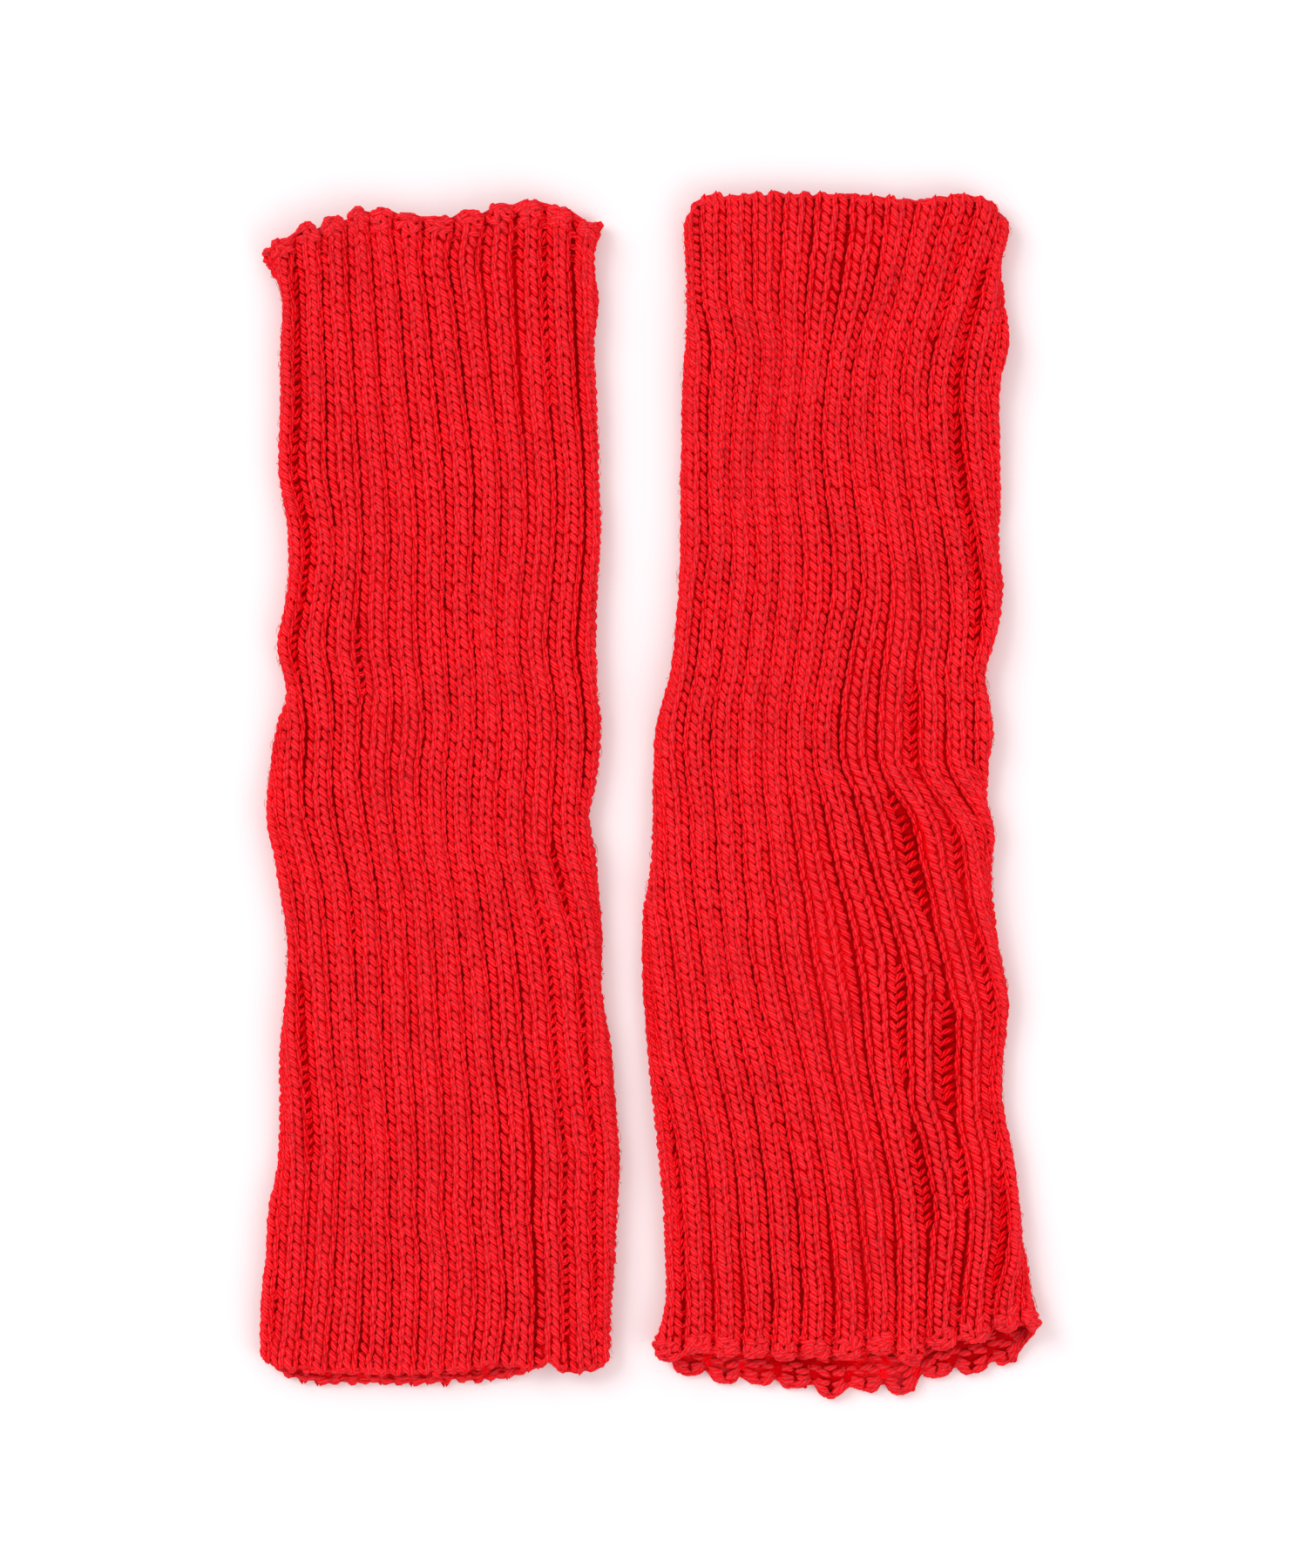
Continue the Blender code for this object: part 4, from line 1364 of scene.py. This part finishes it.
    def loose_fibres(self) -> None:
        """Fine curled fibres that stand a little off the yarn, as the nap of a soft knit."""
        batch = StrandBatch(FIBRE_SIDES)
        count = LOOSE_FIBRES
        run, lift, girth = columns(FIBRE_POINTS)
        rib = self.rng.integers(FIRST_RIB, UPPER_RIBS[-1], (count, 1))
        share = self.between(FIBRE_SHARES, count)
        nominal = self.between((self.lay.bottom, self.lay.top), count)
        way = self.between((0.0, math.tau), count)
        half = self.between(FIBRE_HALF, count)
        bend = self.vary(FIBRE_CURL_SPREAD, count) * (1.0 - run ** 2)
        aside = half * run * np.cos(way) - bend * np.sin(way)
        ahead = half * run * np.sin(way) + bend * np.cos(way)
        lift = lift * self.between(FIBRE_RISE, count)
        lift[:, 0] = FIBRE_ROOT
        girth = girth * self.between(FIBRE_GIRTH, count)
        nominal = np.clip(nominal + ahead, self.lay.bottom + 1.0, self.lay.top - 1.0)
        share = np.clip(share + aside / RIB_PITCH, 0.0, 1.0)
        self.lay_strands(batch, rib, share, nominal, lift, girth)
        self.finish(batch, "loose_fibres")

    def rim_point(self, end: End, rib: Array, share: Array, turn: Array,
                  swell: Array) -> tuple[Array, Array]:
        """Point of a strand that is laid along the rounded rim of one end.

        Args:
            end: Which end.
            rib: Whole rib numbers.
            share: Shares of the way across each rib.
            turn: Angle round the rim, from 90 on the outer face over 0 at the very end, in degrees.
            swell: Distance from the middle of the wall.

        Returns:
            Points and outward directions.
        """
        nominal = np.full(share.shape, self.lay.end_place(end) - end.value * RIM_SETBACK)
        place, outward, ahead = self.lay.surface(rib, share, nominal)
        beyond = ahead * end.value
        angle = np.radians(turn)[..., None]
        way = unit(beyond * np.cos(angle) + outward * np.sin(angle))
        return place - RIM_DEPTH * outward + swell[..., None] * way, way

    def chain(self, batch: StrandBatch, end: End, chain: Chain) -> None:
        """Chain of stitches lying along one end's rim.

        Args:
            batch: Batch that the strands go into.
            end: Which end.
            chain: Where its links lie and how thick they are.
        """
        first, link = pairs(RIBS_AROUND, len(chain.links))
        count = len(first)
        start, stop = columns(chain.links)[:, link]
        close, run, lift, girth = columns(LINK_LEG)
        begin = first + start + self.vary(CHAIN_SPREAD.along, count)
        for side in (-1.0, 1.0):
            number = begin + (stop - start) * run
            rib = np.floor(number).astype(int)
            turn = chain.lean + self.vary(CHAIN_SPREAD.aside, count) + side * chain.half * close
            low = lift + self.vary(CHAIN_SPREAD.lift, count)
            place, way = self.rim_point(end, FIRST_RIB + rib, number - rib, turn, chain.swell + low)
            fat = girth * chain.girth * (1.0 + self.vary(CHAIN_SPREAD.girth, count))
            # The chains' painted shade follows their height, lifted by CHAIN_SHADE
            batch.add(place, way, fat, self.starts(count), low - chain.girth + CHAIN_SHADE)

    def bound_edge(self) -> None:
        """Loose bound-off edge: chains on the rim, and plump lobes with strands wound across them."""
        batch = StrandBatch(EDGE_SIDES)
        for chain in BOUND_CHAINS:
            self.chain(batch, self.lay.bound_end, chain)
        self.knots(batch)
        self.finish(batch, "bound_off_edge")

    def knots(self, batch: StrandBatch) -> None:
        """Short plump turns of yarn, knotted every way over the face of each lobe.

        Args:
            batch: Batch that the strands go into.
        """
        rib, knot = pairs(RIBS_AROUND, len(KNOTS))
        count = len(rib)
        run, lift, girth = columns(KNOT_POINTS)
        middle, back = columns(KNOTS)[:, knot]
        way = self.vary(KNOT_TURN_SPREAD, count) * np.where(knot % 2 == 0, 1.0, -1.0) + KNOT_TURN
        half = self.between(KNOT_HALF, count)
        middle = middle + self.vary(KNOT_SPREAD.aside, count)
        back = back + self.vary(KNOT_SPREAD.along, count)
        share = middle + half * run * np.cos(way) / RIB_PITCH
        share = np.clip(share, KNOT_MARGIN, 1.0 - KNOT_MARGIN)
        back = back + half * run * np.sin(way) - KNOT_BOW * (1.0 - run ** 2)
        lift = lift + self.vary(KNOT_SPREAD.lift, count)
        girth = girth * (1.0 + self.vary(KNOT_SPREAD.girth, count))
        end = self.lay.bound_end
        nominal = self.lay.end_place(end) - end.value * back
        self.lay_strands(batch, FIRST_RIB + rib, share, nominal, lift, girth)

    def cast_edge(self) -> None:
        """Neat cast-on edge, small even loops along the very end."""
        batch = StrandBatch(UPPER_SIDES)
        for chain in CAST_CHAINS:
            self.chain(batch, self.lay.cast_end, chain)
        self.finish(batch, "cast_on_edge")


@dataclass
class Studio:
    """Straight-down camera, white paper and soft light from the upper left."""

    paper: bpy.types.Material
    middle: tuple[float, float] = (0.0012, 0.0030)
    view_height: float = 0.540
    cloth_top: float = 0.009
    camera_above: float = 2.70
    sensor_mm: float = 36.0
    clip: tuple[float, float] = (0.1, 20.0)
    paper_side: float = 8.0
    world_light: tuple[float, float, float] = (1.0, 0.935, 0.945)
    world_strength: float = 0.88

    def build(self) -> None:
        """Make the floor, the lights, the world and the camera."""
        self.floor()
        self.lights()
        self.camera()

    def floor(self) -> None:
        """Plain sheet of paper that the pair lies on."""
        deselect_all()
        bpy.ops.mesh.primitive_plane_add(size=self.paper_side, location=(0.0, 0.0, 0.0))
        made = bpy.context.object
        made.name = "background_paper"
        made.data.materials.append(self.paper)
        LOG.info("background_paper: floor")

    def area_light(self, given: Light) -> None:
        """Square soft light that faces the pair.

        Args:
            given: Its name, place, side and power.
        """
        light = bpy.data.lights.new(given.name, "AREA")
        light.shape = "SQUARE"
        light.size = given.side
        light.energy = given.power
        holder = bpy.data.objects.new(given.name, light)
        bpy.context.scene.collection.objects.link(holder)
        holder.location = given.place
        holder.rotation_mode = "QUATERNION"
        holder.rotation_quaternion = (-Vector(given.place)).to_track_quat("-Z", "Y")

    def lights(self) -> None:
        """Key from the upper left, fill from the right, and an even world, faintly pink."""
        self.area_light(KEY_LIGHT)
        self.area_light(FILL_LIGHT)
        world = bpy.data.worlds.new("soft_white")
        world.use_nodes = True
        shade = world.node_tree.nodes["Background"]
        shade.inputs["Color"].default_value = (*self.world_light, 1.0)
        shade.inputs["Strength"].default_value = self.world_strength
        bpy.context.scene.world = world
        bpy.context.scene.view_settings.view_transform = "Standard"
        bpy.context.scene.view_settings.look = "None"

    def camera(self) -> None:
        """Camera straight above, framed as the photograph is."""
        lens = bpy.data.cameras.new("camera")
        lens.sensor_width = self.sensor_mm
        lens.lens = self.sensor_mm * (self.camera_above - self.cloth_top) / self.view_height
        lens.clip_start, lens.clip_end = self.clip
        holder = bpy.data.objects.new("camera", lens)
        bpy.context.scene.collection.objects.link(holder)
        holder.location = (self.middle[0], self.middle[1], self.camera_above)
        bpy.context.scene.camera = holder


def main() -> None:
    """Build the pair and the studio around it."""
    logging.basicConfig(level=logging.INFO, format="%(message)s")
    Studio(StudioPaper().make()).build()
    yarn = SpunYarn().make()
    left = TubeLay(-72.6, 200.0, -202.0, LEFT_SECTIONS, LEFT_TOP, LEFT_BOTTOM,
                   LEFT_OPENINGS, LEFT_FOLDS, LEFT_NOTCHES, End.TOP, 5)
    right = TubeLay(64.5, 205.0, -199.0, RIGHT_SECTIONS, RIGHT_TOP, RIGHT_BOTTOM,
                    RIGHT_OPENINGS, RIGHT_FOLDS, RIGHT_NOTCHES, End.BOTTOM, 8)
    LegWarmer("left", "left_leg_warmer", left, 11, yarn).build()
    LegWarmer("right", "right_leg_warmer", right, 23, yarn).build()


if __name__ == "__main__":
    main()
